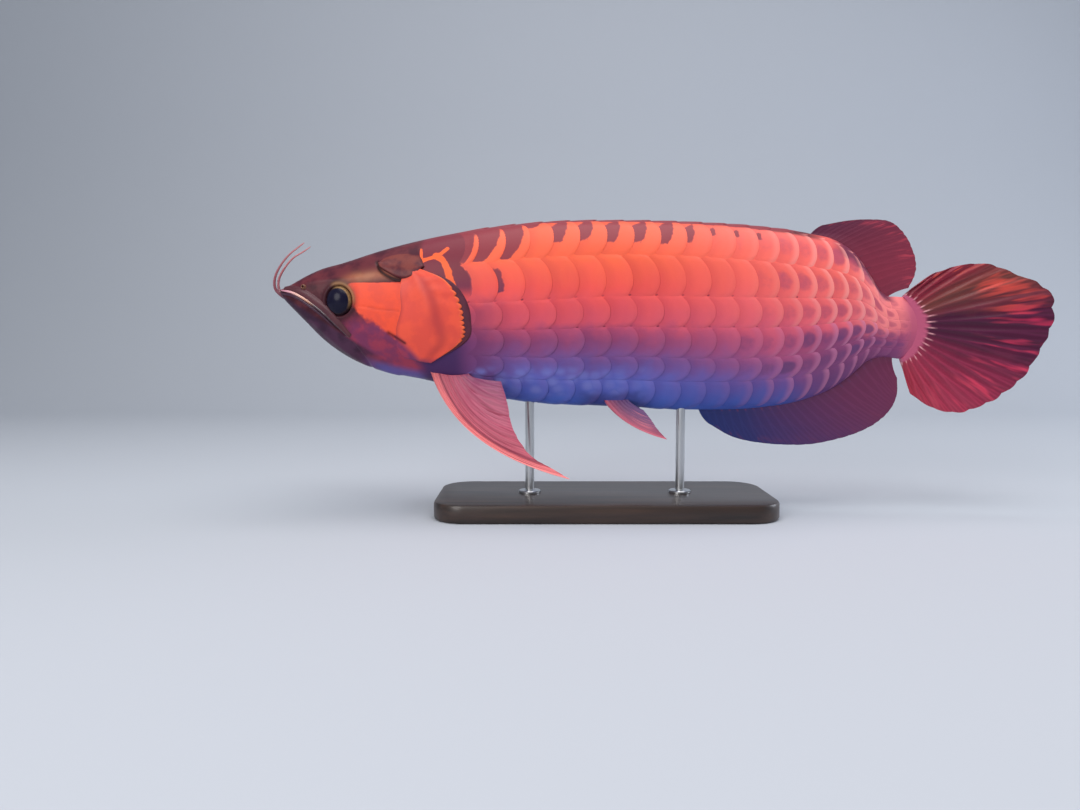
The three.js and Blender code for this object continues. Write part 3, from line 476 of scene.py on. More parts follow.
def new_group(name, given_names, result_name, result_kind="NodeSocketFloat"):
    """A shader node group with number inputs and one output: the group and its sockets at both ends."""
    group = bpy.data.node_groups.new(name, "ShaderNodeTree")
    for given_name in given_names:
        group.interface.new_socket(given_name, in_out="INPUT", socket_type="NodeSocketFloat")
    group.interface.new_socket(result_name, in_out="OUTPUT", socket_type=result_kind)
    given = group.nodes.new("NodeGroupInput").outputs
    return group, given, group.nodes.new("NodeGroupOutput").inputs[result_name]


def placed_group(tree, group, **values):
    """The output of a group placed in a tree with its own values."""
    return add_node(tree, "ShaderNodeGroup", values, node_tree=group).outputs[0]


def fish_height(tree):
    """Height above the body's long axis, in millimetres."""
    z = add_node(tree, "ShaderNodeSeparateXYZ", {0: object_place(tree)}).outputs[2]
    return math_node(tree, "MULTIPLY_ADD", z, 1000.0, -float(AXIS_HEIGHT))


def patches_group():
    """A group that gives soft patches, 0 to 1: noise over the object's coordinates, cut near its middle."""
    group, given, result = new_group("Soft patches", ("Scale", "Detail"), "Share")
    cloud = noise_value(group, given["Scale"], given["Detail"])
    group.links.new(smooth_range(group, cloud, 0.38, 0.62), result)
    return group


def ragged_group():
    """A group that gives a mask a ragged edge: Mask + Spread (noise - 0.5), cut smoothly from From to To."""
    names = ("Mask", "Scale", "Detail", "Spread", "From", "To")
    group, given, result = new_group("Ragged edge", names, "Share")
    noise = noise_value(group, given["Scale"], given["Detail"])
    even = math_node(group, "SUBTRACT", noise, 0.5)
    torn = math_node(group, "MULTIPLY_ADD", even, given["Spread"], given["Mask"])
    group.links.new(smooth_range(group, torn, given["From"], given["To"]), result)
    return group


# The colour of the flank, on bare skin and scales alike: red-orange high on the side, coral lower,
# mauve under it, lilac-blue on the belly, brown on the back, and salmon towards the tail. The ramp by height
# is partly painted light: the red-orange high on the side is brightened by painted light from above, and the
# lilac-blue on the belly is painted blue bounce light from below.
BACK_BROWN = (0.19, 0.03, 0.05)
RIDGE_BROWN = (0.11, 0.024, 0.034)
SHOULDER_ROSE, SHOULDER_MAUVE = (0.34, 0.058, 0.12), (0.17, 0.042, 0.14)
HEIGHT_LOW, HEIGHT_HIGH = -75, 80
DRIFT = 16
# Height ramps of colour and painted light: painted light from above brightens the upper stops, painted blue
# bounce light tints the lowest.
FRONT_TONES_AND_LIGHT = [
    (-66, (0.09, 0.18, 0.66)), (-44, (0.135, 0.145, 0.53)), (-33, (0.18, 0.1, 0.34)),
    (-18, (0.31, 0.07, 0.19)), (-9, (0.5, 0.078, 0.16)), (-3, (0.74, 0.095, 0.14)),
    (22, (0.92, 0.1, 0.085)), (44, (0.97, 0.14, 0.065)),
]
REAR_TONES_AND_LIGHT = [
    (-66, (0.07, 0.1, 0.4)), (-50, (0.17, 0.08, 0.3)), (-36, (0.34, 0.085, 0.22)),
    (-22, (0.57, 0.1, 0.2)), (-8, (0.78, 0.125, 0.19)), (6, (0.93, 0.155, 0.17)),
    (32, (0.99, 0.165, 0.14)), (60, (0.9, 0.145, 0.13)),
]
STALK_SALMON = (1.0, 0.29, 0.29)
STALK_ROSE = (0.52, 0.1, 0.19)
STALK_MAUVE = (0.2, 0.042, 0.085)
STALK_VIOLET = (0.17, 0.052, 0.17)
# Painted shadow of the pelvic fin, dark blue, on the flank just above the fin's root.
PELVIC_SHADOW_BLUE = (0.05, 0.045, 0.17)


def height_stops(tones):
    """Ramp stops from pairs of height and colour."""
    return [((z - HEIGHT_LOW) / (HEIGHT_HIGH - HEIGHT_LOW), tone) for z, tone in tones]


def flank_group():
    """A group that gives the flank's colour and painted light from height and distance along, both in mm, and
    share round.
    """
    names = ("Height", "Along", "Share")
    group, given, result = new_group("Flank colours and light", names, "Colour", "NodeSocketColor")
    height = math_node(group, "MULTIPLY_ADD", noise_value(group, 70), DRIFT, given["Height"])

    def along(low, high, to_low=0.0, to_high=1.0):
        """The distance along, mapped from low..high to to_low..to_high."""
        return smooth_range(group, given["Along"], low, high, to_low, to_high)

    def up(low, high, to_low=0.0, to_high=1.0):
        """The height with its drift, mapped from low..high to to_low..to_high."""
        return smooth_range(group, height, low, high, to_low, to_high)

    level = add_node(group, "ShaderNodeMapRange", {
        "Value": math_node(group, "SUBTRACT", height, DRIFT / 2),
        "From Min": HEIGHT_LOW,
        "From Max": HEIGHT_HIGH,
    }).outputs[0]
    front = colour_ramp(group, level, height_stops(FRONT_TONES_AND_LIGHT))
    rear = colour_ramp(group, level, height_stops(REAR_TONES_AND_LIGHT))
    mauve = mix_colours(group, up(-11, 5), SHOULDER_MAUVE, SHOULDER_ROSE)
    back_reach = math_node(group, "SUBTRACT", along(105, 240, 0.16, 0.05), given["Share"])
    wavy_share = math_node(group, "MULTIPLY_ADD", noise_value(group, 130), 0.1, given["Share"])
    body = layered(group, mix_colours(group, along(250, 420), front, rear), [
        (product(group, along(195, 140, 0.0, 0.85), up(27, 11), up(-49, -37)), mauve),
        (product(group, along(425, 465, 0.0, 0.7), up(-9, 5)), STALK_SALMON),
        (product(group, along(385, 425, 0.0, 0.75), up(2, -8)), STALK_VIOLET),
        (along(474, 488, 0.0, 0.9), STALK_ROSE),
        (product(group, smooth_range(group, back_reach, -0.02, 0.02), along(400, 330)), BACK_BROWN),
        (product(group, smooth_range(group, given["Share"], 0.085, 0.055), along(425, 400)), RIDGE_BROWN),
        (
            product(group, along(418, 434), along(476, 466), smooth_range(group, wavy_share, 0.21, 0.16)),
            STALK_MAUVE,
        ),
        # Painted shadow of the pelvic fin on the flank above its root.
        (product(group, along(222, 240), along(290, 272), up(-43, -52, 0.0, 0.6)), PELVIC_SHADOW_BLUE),
    ])
    group.links.new(body, result)
    return group


PATCHES, RAGGED, FLANK = patches_group(), ragged_group(), flank_group()


def flank_colour(tree):
    """The flank's colour and painted light on a piece that carries the map Lie, distance along and share
    round the body.
    """
    _, lie_along, lie_round = map_parts(tree, "Lie")
    along = math_node(tree, "MULTIPLY", lie_along, LIE_LENGTH)
    return placed_group(tree, FLANK, Along=along, Share=lie_round, Height=fish_height(tree))


def ragged_mask(tree, name, cut, scale, detail, spread):
    """The piece's own mask of that name with its edge made ragged, cut over a span."""
    mask = mask_value(tree, name)
    return placed_group(
        tree, RAGGED, Mask=mask, Scale=scale, Detail=detail, Spread=spread, From=cut[0], To=cut[1]
    )


# Where the head is orange, brown, purple or blue, and where painted shade, painted highlight and painted
# bounce light lie on it. A pair of tones is that of its patches and of the skin between them, or a lower and
# a higher one.
SHOULDER_STRIPES = [
    (line_through([(111.6, 51), (111.9, 47), (112.6, 42)]), 1.0),
    (line_through([(112.6, 42), (118, 44), (124.5, 46), (131.5, 51.4)]), 1.4),
    (line_through([(123, 45.6), (127.4, 43.4), (130.6, 38), (133.6, 29), (137, 20), (141, 12)]), 2.8),
]
SNOUT_TONES = (0.05, 0.01, 0.018), (0.1, 0.022, 0.03)
ROOF_TONES = (0.07, 0.014, 0.026), (0.13, 0.026, 0.036)
TAN_TONES = (0.4, 0.15, 0.085), (0.33, 0.1, 0.06)
LOWER_HEAD_TONES = (0.2, 0.036, 0.1), (0.34, 0.042, 0.085)
CHEEK_TONES = (0.94, 0.098, 0.045), (0.84, 0.088, 0.05)
JAW_TONES = (0.04, 0.014, 0.035), (0.075, 0.026, 0.06)
SADDLE_TONES = (0.19, 0.034, 0.07), (0.2, 0.034, 0.052)
STRIPE_ORANGE = (0.95, 0.14, 0.045)
HEAD_RAGS = {"scale": 160, "detail": 5, "spread": 0.9}

head_skin, tree, shader = new_material(
    "head skin", 0.42, Specular_IOR_Level=0.14, Coat_Weight=0.05, Coat_Roughness=0.18
)
patchy = placed_group(tree, PATCHES, Scale=90, Detail=5)
high = fish_height(tree)
under = product(tree, smooth_range(tree, high, 8, -8), mask_value(tree, "Behind"))
tone = layered(tree, mix_colours(tree, patchy, *SNOUT_TONES), [
    ("Roof", mix_colours(tree, patchy, *ROOF_TONES)),
    ("Tan", mix_colours(tree, patchy, *TAN_TONES)),
    (under, mix_colours(tree, patchy, *LOWER_HEAD_TONES)),
    (ragged_mask(tree, "Cheek", (0.3, 0.7), **HEAD_RAGS), mix_colours(tree, patchy, *CHEEK_TONES)),
    # Painted shade in the groove of the cheek seam and, darker, in the cheek slit.
    ("Seam", (0.16, 0.014, 0.02)),
    # Painted shade in the groove under the nape plate's lower edge.
    ("Nape edge shade", (0.03, 0.01, 0.012)),
    ("Jaw", mix_colours(tree, patchy, *JAW_TONES)),
    # Painted shade in the groove of the closed mouth.
    ("Mouth shade", (0.03, 0.01, 0.018)),
    # Painted blue bounce light from below on the throat near the keel.
    ("Throat bounce light", (0.1, 0.1, 0.36)),
    ("Eye shade", (0.045, 0.014, 0.02)),
    # Painted gold highlight on the eye socket rim.
    ("Eye rim highlight", (0.36, 0.18, 0.075)),
    ("Trunk", flank_colour(tree)),
    # Painted shade, dark violet, on the chest under the gill cover's lower rear.
    ("Chest shade", (0.066, 0.026, 0.11)),
    ("Shoulder", mix_colours(tree, smooth_range(tree, high, 20, 36), *SADDLE_TONES)),
    (ragged_mask(tree, "Stripe", (0.34, 0.5), **HEAD_RAGS), STRIPE_ORANGE),
])
paint(tree, shader, tone, noise_value(tree, 520, 5), 0.2, 0.0005)

slit_away = distance_to(CHEEK_SLIT, view_x, view_z)
nape_away = distance_to(NAPE_LOW, view_x, view_z)
seam_away = distance_to(CHEEK_SEAM, view_x, view_z, 0.3)
mouth_away = distance_to(MOUTH, view_x, view_z, 0.1, 0.9)
above_keel = view_z - bottom_of(view_x)
under_mouth = MOUTH_CORNERS[0][1] - view_z - 0.62 * view_x
behind_eye = view_x - 50 + 1.3 * (view_z - 14)
above_tan = view_z - 29.5 - 0.14 * (view_x - 60)
cheek_field = (
    smooth_step(view_x + 0.2 * view_z, 57, 66)
    * (1 - smooth_step(view_z, 25, 27.5))
    * smooth_step(view_z + 0.68 * view_x, 41, 55)
)
skin_masks = {
    "Roof": smooth_step(view_z - 0.2 * view_x, 17, 21.5) * (1 - cheek_field),
    "Cheek": cheek_field * (1 - smooth_step(nape_away, 0, 3) * (view_z > 27)),
    "Tan": mound(above_tan, 4.2) * band(view_x, (46, 62), (96, 110)),
    # Seam shade: where painted shade lies in the cheek seam and slit grooves.
    "Seam": np.maximum(0.21 * mound(seam_away, 0.8), 0.91 * mound(slit_away, 1.3)),
    # Nape edge shade: painted shade along the groove under the nape plate.
    "Nape edge shade": mound(nape_away, 1.3),
    "Behind": smooth_step(view_x, 44, 62),
    "Jaw": smooth_step(under_mouth, -0.5, 3.5) * (1 - smooth_step(view_x, 58, 92)),
    # Mouth shade: painted shade along the mouth's groove.
    "Mouth shade": mound(mouth_away, 1.5),
    # Throat bounce light: where painted blue bounce light lies on the underside of the throat.
    "Throat bounce light": 0.85 * band(view_x, (60, 84), (118, 136)) * (1 - smooth_step(above_keel, 3, 10)),
    # Chest shade: where the painted shade lies on the chest.
    "Chest shade": band(view_x, (104, 116), (134, 152)) * smooth_step(-view_z, 10, 24),
    # Eye rim highlight: painted gold highlight on the socket rim behind and above the eye.
    "Eye rim highlight": 0.7 * mound(eye_away - 12.8, 1.5) * smooth_step(behind_eye, 4, 13),
    "Eye shade": 0.75 * mound(np.maximum(eye_away - 12.5, 0), 3.2) * smooth_step(eye_away, 9, 12),
    "Trunk": smooth_step(view_x, 116, 128),
    "Shoulder": band(view_x, (109, 114), (148, 154)) * smooth_step(view_z, 10, 24),
    "Stripe": np.max(
        [mound(distance_to(line, view_x, view_z), width) for line, width in SHOULDER_STRIPES], axis=0
    ),
}
skin_maps = {"Lie": np.stack([skin_x / LIE_LENGTH, skin_share], axis=-1)}
quads, caps = ring_faces(len(SKIN_X), len(skin_shares))
skin = make_piece("fish_skin", skin_points, quads, head_skin, "head_skin", skin_maps, skin_masks, caps, 75)
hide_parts("head", "lower_jaw", "torso_front", "torso_rear", "tail_stalk")

# Gill covers
# A large thin plate of bone on each side of the head, under shining skin, hinged at its front edge. Its free
# rear margin is frayed into small teeth, over the dark soft flap that closes the gill opening.
SIDES = ((1, "right"), (-1, "left"))
COVER_FRONT = line_through([(99, 33), (95.4, 20), (95.6, 6), (91.4, -8), (92.4, -20), (97.5, -30)])
COVER_REAR = line_through([(111, 36.5), (130, 28), (140.4, 14), (144, -2), (142, -17), (118, -33.5)])
COVER_GRID = (72, 130)
COVER_LIFT = 1.85
COVER_SWELL = 1.0
COVER_FOLD = line_through([(0.62, 0), (0.6, 0.2), (0.62, 0.45), (0.7, 0.7), (0.72, 1)])
COVER_TONES = (0.88, 0.1, 0.055), (0.78, 0.082, 0.055)
# Tones of the cover's own lower purple, also used for painted shade along its lower edge.
LOW_PURPLE_AND_SHADE_TONES = (0.19, 0.036, 0.11), (0.38, 0.042, 0.085)
FLAP_TONES = (0.05, 0.012, 0.02), (0.15, 0.03, 0.06)
FLAP_SPAN = (0.12, 0.93)
FLAP_INSIDE, FLAP_OUTSIDE = 9, 5.2
FLAP_GRID = (14, 80)
FRINGE_TEETH = 19
FRINGE_LONG = 2.4
SEAM = 0.2
PROBE = 0.4


def side_half(x, z):
    """The body's half width where the side view shows (x, z)."""
    top, bottom = top_of(x), bottom_of(x)
    level = top + (bottom - top) * widest_of(x)
    upper = z >= level
    share = np.clip(np.where(upper, (z - level) / (top - level), (level - z) / (level - bottom)), 0, 1)
    square = np.where(upper, square_top_of(x), square_bottom_of(x))
    return half_of(x) * (1 - share**square) ** (1 / square)


def side_point(x, z, raised=0.0, side=1):
    """The flank's point that the side view shows at (x, z), raised along the normal, on side +1 or -1."""
    across = side_half(x - PROBE, z) - side_half(x + PROBE, z)
    along = side_half(x, z - PROBE) - side_half(x, z + PROBE)
    normal = np.stack(np.broadcast_arrays(across, 2 * PROBE, along), axis=-1)
    normal /= np.linalg.norm(normal, axis=-1, keepdims=True)
    point = np.stack(np.broadcast_arrays(x, side_half(x, z), z), axis=-1)
    return (point + normal * np.asarray(raised, float)[..., None]) * np.array([1, side, 1])


def grid_faces(rows, columns):
    """Quads of a rows x columns grid of points numbered row by row."""
    first = np.arange(rows - 1)[:, None] * columns + np.arange(columns - 1)[None, :]
    return np.stack([first, first + 1, first + columns + 1, first + columns], axis=-1).reshape(-1, 4)


def sheet_faces(count, rows, columns):
    """Quads of closed sheets: for each of count sheets an upper grid, a lower grid and the wall between."""
    size = rows * columns
    one = grid_faces(rows, columns)
    ring = np.concatenate([
        np.arange(columns),
        np.arange(1, rows) * columns + columns - 1,
        (rows - 1) * columns + np.arange(columns - 2, -1, -1),
        np.arange(rows - 2, 0, -1) * columns,
    ])
    after = np.roll(ring, -1)
    wall = np.stack([ring, ring + size, after + size, after], axis=-1)
    sheet = np.concatenate([one[:, ::-1], one + size, wall])
    return (sheet[None] + (np.arange(count) * 2 * size)[:, None, None]).reshape(-1, 4)


def plate_places(front, rear, rows, columns):
    """Side-view x and z and the shares back and down of a grid between a front and a rear edge."""
    back, down = np.meshgrid(np.linspace(0, 1, rows), np.linspace(0, 1, columns), indexing="ij")
    before, after = front(down), rear(down)
    place = before + (after - before) * back[..., None]
    return place[..., 0], place[..., 1], back, down


def edge_distance(x, z):
    """The distance of each point of a grid from the grid's nearest border, walked along rows and columns."""
    away = []
    for axis in (0, 1):
        steps = np.hypot(np.diff(x, axis=axis), np.diff(z, axis=axis))
        walked = np.cumsum(np.insert(steps, 0, 0, axis=axis), axis=axis)
        away.append(np.minimum(walked, walked.take([-1], axis=axis) - walked))
    return np.minimum(*away)


def rounded_rim(away, width):
    """A quarter round over the width next to the edge: sqrt(1 - (1 - d/w)^2)."""
    return np.sqrt(1 - (1 - np.clip(away / width, 0, 1)) ** 2)


def make_plate(name, place, raised, inner, side, material, slot, masks=None):
    """A closed plate over side-view places (x, z), its outer face raised and its inner face level."""
    x, z = place
    points = np.stack([side_point(x, z, raised, side), side_point(x, z, inner, side)])
    lie = np.stack([x / LIE_LENGTH, z / LIE_LENGTH], axis=-1)
    maps = {"Lie": np.stack([lie, lie])}
    both = {key: np.stack([value, value]) for key, value in (masks or {}).items()}
    return make_piece(name, points, sheet_faces(1, *x.shape), material, slot, maps, both, sharp=60)


cover_x, cover_z, cover_back, cover_down = plate_places(COVER_FRONT, COVER_REAR, *COVER_GRID)
teeth = np.abs(np.sin(np.pi * FRINGE_TEETH * cover_down + 1.3 * np.sin(9 * cover_down))) ** 0.7
fringe = band(cover_down, (0.22, 0.36), (0.74, 0.86)) * smooth_step(cover_back, 0.86, 1)
cover_x = cover_x + FRINGE_LONG * fringe * (teeth - 0.75)
cover_swell = np.sin(np.pi * cover_down) ** 0.5
fold = cover_back - COVER_FOLD(cover_down)[..., 0]
cover_slit_away = distance_to(CHEEK_SLIT, cover_x, cover_z)
rays = 0.12 * np.sin(46 * np.arctan2(cover_down - 0.12, cover_back + 0.25)) * smooth_step(fold, -0.02, 0.1)
rounding = rounded_rim(edge_distance(cover_x, cover_z), 1.6)
cover_raise = (
    SEAM
    + COVER_LIFT * rounding * (0.1 + 0.9 * smooth_step(cover_back, 0, 0.6))
    + COVER_SWELL * np.sin(np.pi * cover_back) * cover_swell
    + 0.5 * mound(fold + 0.12, 0.13) * cover_swell
    - 0.7 * mound(cover_slit_away, 0.9)
    + rays
)
above_margin = cover_z + 35 + 0.95 * (cover_x - 114)
cover_masks = {
    # Fold shade: painted shade just behind the raised fold across the cover.
    "Fold shade": 0.8 * mound(fold + 0.02, 0.1) * cover_swell,
    "Rim": 0.6 * smooth_step(cover_back, 0.93, 1.0),
    # Front shade: painted shade along the cover's front edge.
    "Front shade": 0.7 * (1 - smooth_step(cover_back, 0.0, 0.1)) * smooth_step(cover_down, 0.08, 0.25),
    # Low: the lower front of the cover in its own purple, and a strip of painted shade along its lower edge.
    "Low": np.maximum(1 - smooth_step(above_margin, -3, 5.5), 0.8 * smooth_step(cover_down, 0.93, 1.0)),
    # Slit shade: painted shade in the cheek slit's groove on the cover.
    "Slit shade": mound(cover_slit_away, 1.2),
}
cover_skin, tree, shader = new_material(
    "gill cover skin", 0.4, Specular_IOR_Level=0.18, Coat_Weight=0.08, Coat_Roughness=0.16
)
patchy = placed_group(tree, PATCHES, Scale=70, Detail=4)
tone = layered(tree, mix_colours(tree, patchy, *COVER_TONES), [
    # Painted shade along the cover's fold.
    ("Fold shade", (0.5, 0.05, 0.05)),
    ("Rim", (0.95, 0.2, 0.05)),
    # Painted shade along the cover's front edge.
    ("Front shade", (0.36, 0.03, 0.035)),
    # The cover's own lower purple, and painted shade along its lower edge.
    ("Low", mix_colours(tree, patchy, *LOW_PURPLE_AND_SHADE_TONES)),
    # Painted shade in the cheek slit's groove.
    ("Slit shade", (0.13, 0.012, 0.02)),
])
paint(tree, shader, tone, noise_value(tree, 300, 5), 0.15, 0.0005)

gill_flap, tree, shader = new_material("gill flap", 0.5, Specular_IOR_Level=0.2, Coat_Weight=0.1)
paint(tree, shader, mix_colours(tree, noise_value(tree, 160, 4), *FLAP_TONES))

flap_back = np.linspace(-FLAP_INSIDE, FLAP_OUTSIDE, FLAP_GRID[0])
flap_back, flap_down = np.meshgrid(flap_back, np.linspace(*FLAP_SPAN, FLAP_GRID[1]), indexing="ij")
flap_edge = COVER_REAR(flap_down)
flap_round = np.sin(np.pi * (flap_down - FLAP_SPAN[0]) / (FLAP_SPAN[1] - FLAP_SPAN[0])) ** 0.5
flap_reach = np.where(flap_back > 0, flap_back * flap_round, flap_back)
flap_x, flap_z = flap_edge[..., 0] + flap_reach, flap_edge[..., 1]
flap_raise = 0.3 + 0.7 * rounded_rim(FLAP_OUTSIDE - flap_back, 2.5)
for side, word in SIDES:
    args = (cover_raise, 0.0, side, cover_skin, "gill_cover", cover_masks)
    cover = make_plate(f"{word}_gill_cover_plate", (cover_x, cover_z), *args)
    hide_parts(f"gill_cover_{word}")
    make_plate(f"{word}_gill_flap", (flap_x, flap_z), flap_raise, -1.5, side, gill_flap, "gill_cover")

# Nape plates
# The flat bone above each gill opening, brown and wet, which laps over the top of the gill cover.
NAPE_GRID = (24, 60)
NAPE_TOP = line_through([(79.5, 41), (86, 45.4), (98, 47.6), (110, 46), (114.6, 38.4)])
NAPE_FOOT = line_through([(79.5, 40.4), (82.4, 36.2), (96, 29.2), (106, 30.4), (114.6, 37.6)])
NAPE_LIFT = 2.2
NAPE_TONES = (0.09, 0.016, 0.026), (0.2, 0.044, 0.038)
nape_skin, tree, shader = new_material(
    "nape skin", 0.42, Specular_IOR_Level=0.15, Coat_Weight=0.06, Coat_Roughness=0.18
)
tone = mix_colours(tree, placed_group(tree, PATCHES, Scale=90, Detail=4), *NAPE_TONES)
# Painted shade on the plate's turned-down lower edge.
paint(tree, shader, layered(tree, tone, [("Edge shade", (0.045, 0.014, 0.014))]))
nape_x, nape_z, nape_down, _ = plate_places(NAPE_TOP, NAPE_FOOT, *NAPE_GRID)
nape_edge = edge_distance(nape_x, nape_z)
nape_raise = SEAM + NAPE_LIFT * smooth_step(nape_down, 0, 0.8) * rounded_rim(nape_edge, 1.4)
# Edge shade: painted shade along the plate's lower edge.
nape_masks = {"Edge shade": (1 - smooth_step(nape_edge, 0.1, 0.9)) * smooth_step(nape_down, 0.3, 0.7)}
for side, word in SIDES:
    args = (nape_raise, -1.6, side, nape_skin, "head_skin", nape_masks)
    make_plate(f"{word}_nape_plate", (nape_x, nape_z), *args)

# Jaws
# The blade of the upper jaw lies along the mouth, with a wet pink lip under it that carries a painted
# highlight along its front half, and the lower jaw closes against it with a darker lip.
TUBE_SIDES = 14
# Tones along the upper lip: pink with a painted highlight over its front half, then dark towards the corner.
LIP_AND_HIGHLIGHT_TONES = [
    (0.0, (0.5, 0.16, 0.24)), (0.16, (0.9, 0.42, 0.5)), (0.36, (0.95, 0.56, 0.46)), (0.5, (0.6, 0.27, 0.16)),
    (0.62, (0.05, 0.018, 0.028)),
]
JAW_LIP_TONES = (0.035, 0.012, 0.028), (0.08, 0.028, 0.055)
BLADE_TONES = (0.05, 0.015, 0.025), (0.13, 0.035, 0.045)
LIP_START, LIP_STEPS = 0.15, 60


def tube_frames(path):
    """Unit tangents of a path with two directions across it that don't twist more than the path turns."""
    tangent = np.gradient(path, axis=0)
    tangent /= np.linalg.norm(tangent, axis=1, keepdims=True)
    across = np.cross(tangent[0], [0.0, 0.0, 1.0])
    normals = []
    for t in tangent:
        across = across - t * np.dot(across, t)
        across /= np.linalg.norm(across)
        normals.append(across)
    normals = np.array(normals)
    return normals, np.cross(tangent, normals)


def make_tube(name, path, radii, material, slot, flat=1.0):
    """A tube round a path with a radius at each point, closed by a flat cap at both ends."""
    path, radii = np.asarray(path, float), np.asarray(radii, float)
    side, up = tube_frames(path)
    turn = np.arange(TUBE_SIDES) * 2 * np.pi / TUBE_SIDES
    ring = side[:, None] * np.cos(turn)[:, None] + up[:, None] * np.sin(turn)[:, None] * flat
    points = path[:, None] + ring * radii[:, None, None]
    quads, caps = ring_faces(len(path), TUBE_SIDES)
    along = np.broadcast_to(np.linspace(0, 1, len(path))[:, None], points.shape[:2])
    around = np.broadcast_to(turn[None] / 2 / np.pi, points.shape[:2])
    maps = {"Lie": np.stack([along, around], axis=-1)}
    return make_piece(name, points, quads, material, slot, maps, caps=caps)


def beside_mouth(share, offset):
    """Side-view places beside the line of the mouth, offset upwards from it."""
    run = MOUTH(share) - MOUTH(share - 0.01)
    run /= np.linalg.norm(run, axis=-1, keepdims=True)
    return MOUTH(share) + np.stack([-run[..., 1], run[..., 0]], axis=-1) * np.asarray(offset)[..., None]


lip_skin, tree, shader = new_material("upper lip", 0.25, Coat_Weight=0.6, Coat_Roughness=0.1)
# The upper lip's pink and its painted highlight, along the lip.
paint(tree, shader, colour_ramp(tree, map_parts(tree, "Lie")[1], LIP_AND_HIGHLIGHT_TONES))
jaw_lip, tree, shader = new_material("lower lip", 0.4, Specular_IOR_Level=0.25, Coat_Weight=0.1)
paint(tree, shader, mix_colours(tree, noise_value(tree, 150), *JAW_LIP_TONES))
blade_skin, tree, shader = new_material("jaw blade", 0.4, Specular_IOR_Level=0.25, Coat_Weight=0.1)
paint(tree, shader, mix_colours(tree, noise_value(tree, 110), *BLADE_TONES))

blade_s, blade_w = np.meshgrid(np.linspace(0.2, 1.0, 70), np.linspace(0, 1, 16), indexing="ij")
blade_height = 1.2 + 5.4 * np.sin(np.pi * np.clip((blade_s - 0.12) / 0.98, 0, 1)) ** 0.8
blade = beside_mouth(blade_s, 0.9 + blade_height * blade_w)
blade_x, blade_z = blade[..., 0], blade[..., 1]
blade_raise = 0.7 * rounded_rim(edge_distance(blade_x, blade_z), 1.5) + 0.4 * np.sin(np.pi * blade_w)
for side, word in SIDES:
    make_plate(f"{word}_jaw_blade", (blade_x, blade_z), blade_raise, -1.5, side, blade_skin, "head_skin")
    for label, offset, radius, reach, finish, slot in (
        ("upper_lip", 1.1, 1.4, 1.0, lip_skin, "head_skin"),
        ("lower_lip", -1.3, 1.3, 0.88, jaw_lip, "jaw_skin"),
    ):
        share = LIP_START + (reach - LIP_START) * np.linspace(0, 1, LIP_STEPS)
        place = beside_mouth(share, np.full_like(share, offset))
        path = side_point(place[:, 0], place[:, 1], -0.25 * radius, side)
        taper = np.sin(np.pi * np.linspace(0.02, 0.985, LIP_STEPS)) ** 0.35
        make_tube(f"{word}_{label}", path, radius * taper, finish, slot)

# Nostrils
# A short soft tube stands on each side of the snout, with a dark bore.
NOSTRIL_PROFILE = [
    (2.6, -0.8), (2.1, 0.2), (1.75, 1.1), (1.6, 1.7), (1.3, 1.95), (1.0, 1.7), (0.9, 0.6), (0.9, -0.4)
]
NOSTRIL_PLACE = (21.8, 23.6)
NOSTRIL_SIDES = 24
nostril_skin = new_material("nostril skin", 0.35, (0.2, 0.08, 0.045), Coat_Weight=0.3)[0]
for side, word in SIDES:
    foot = side_point(*NOSTRIL_PLACE, 0.0, side)
    out = side_point(*NOSTRIL_PLACE, 1.0, side) - foot
    over = np.cross(out, [1.0, 0.0, 0.0])
    over /= np.linalg.norm(over)
    turn = np.arange(NOSTRIL_SIDES) * 2 * np.pi / NOSTRIL_SIDES
    ring = np.cross(over, out) * np.cos(turn)[:, None] + over * np.sin(turn)[:, None]
    tube = np.array([foot + out * height + ring * radius for radius, height in NOSTRIL_PROFILE])
    quads, caps = ring_faces(len(NOSTRIL_PROFILE), NOSTRIL_SIDES)
    make_piece(f"{word}_nostril", tube, quads, nostril_skin, "head_skin", caps=caps)

# Eyes
# A large glassy ball, mostly pupil, with a thin dim iris that carries a painted gold highlight behind
# and above the pupil.
EYE_RINGS, EYE_SIDES = 40, 64
EYE_FIT = 0.985
PUPIL_EDGE, IRIS_EDGE = (0.76, 0.84), (0.93, 0.97)
GLINT_ANGLE = math.radians(42)
# Tones of the painted gold highlight on the iris; the rest of the iris is painted dim.
IRIS_HIGHLIGHT_TONES = (0.2, 0.11, 0.045), (0.46, 0.27, 0.12)
DIM_TONES = (0.012, 0.006, 0.012), (0.035, 0.015, 0.02)
PUPIL_BLACK = (0.008, 0.007, 0.022)
eye_glass, tree, shader = new_material("eye", 0.24, Specular_IOR_Level=0.15)
away = mask_value(tree, "Away")
streak = noise_value(tree, 700, 3)
# The iris: painted dim all round, with the painted gold highlight where Lit.
iris = layered(tree, mix_colours(tree, streak, *DIM_TONES), [("Lit", mix_colours(tree, streak, *IRIS_HIGHLIGHT_TONES))])
paint(tree, shader, layered(tree, PUPIL_BLACK, [
    (smooth_range(tree, away, *PUPIL_EDGE), iris),
    (smooth_range(tree, away, *IRIS_EDGE), (0.02, 0.008, 0.008)),
]))
polar, turn = np.meshgrid(
    np.linspace(0.004, np.pi - 0.004, EYE_RINGS), np.arange(EYE_SIDES) * 2 * np.pi / EYE_SIDES, indexing="ij"
)
ball = np.stack([np.sin(polar) * np.cos(turn), np.cos(polar), np.sin(polar) * np.sin(turn)], axis=-1)
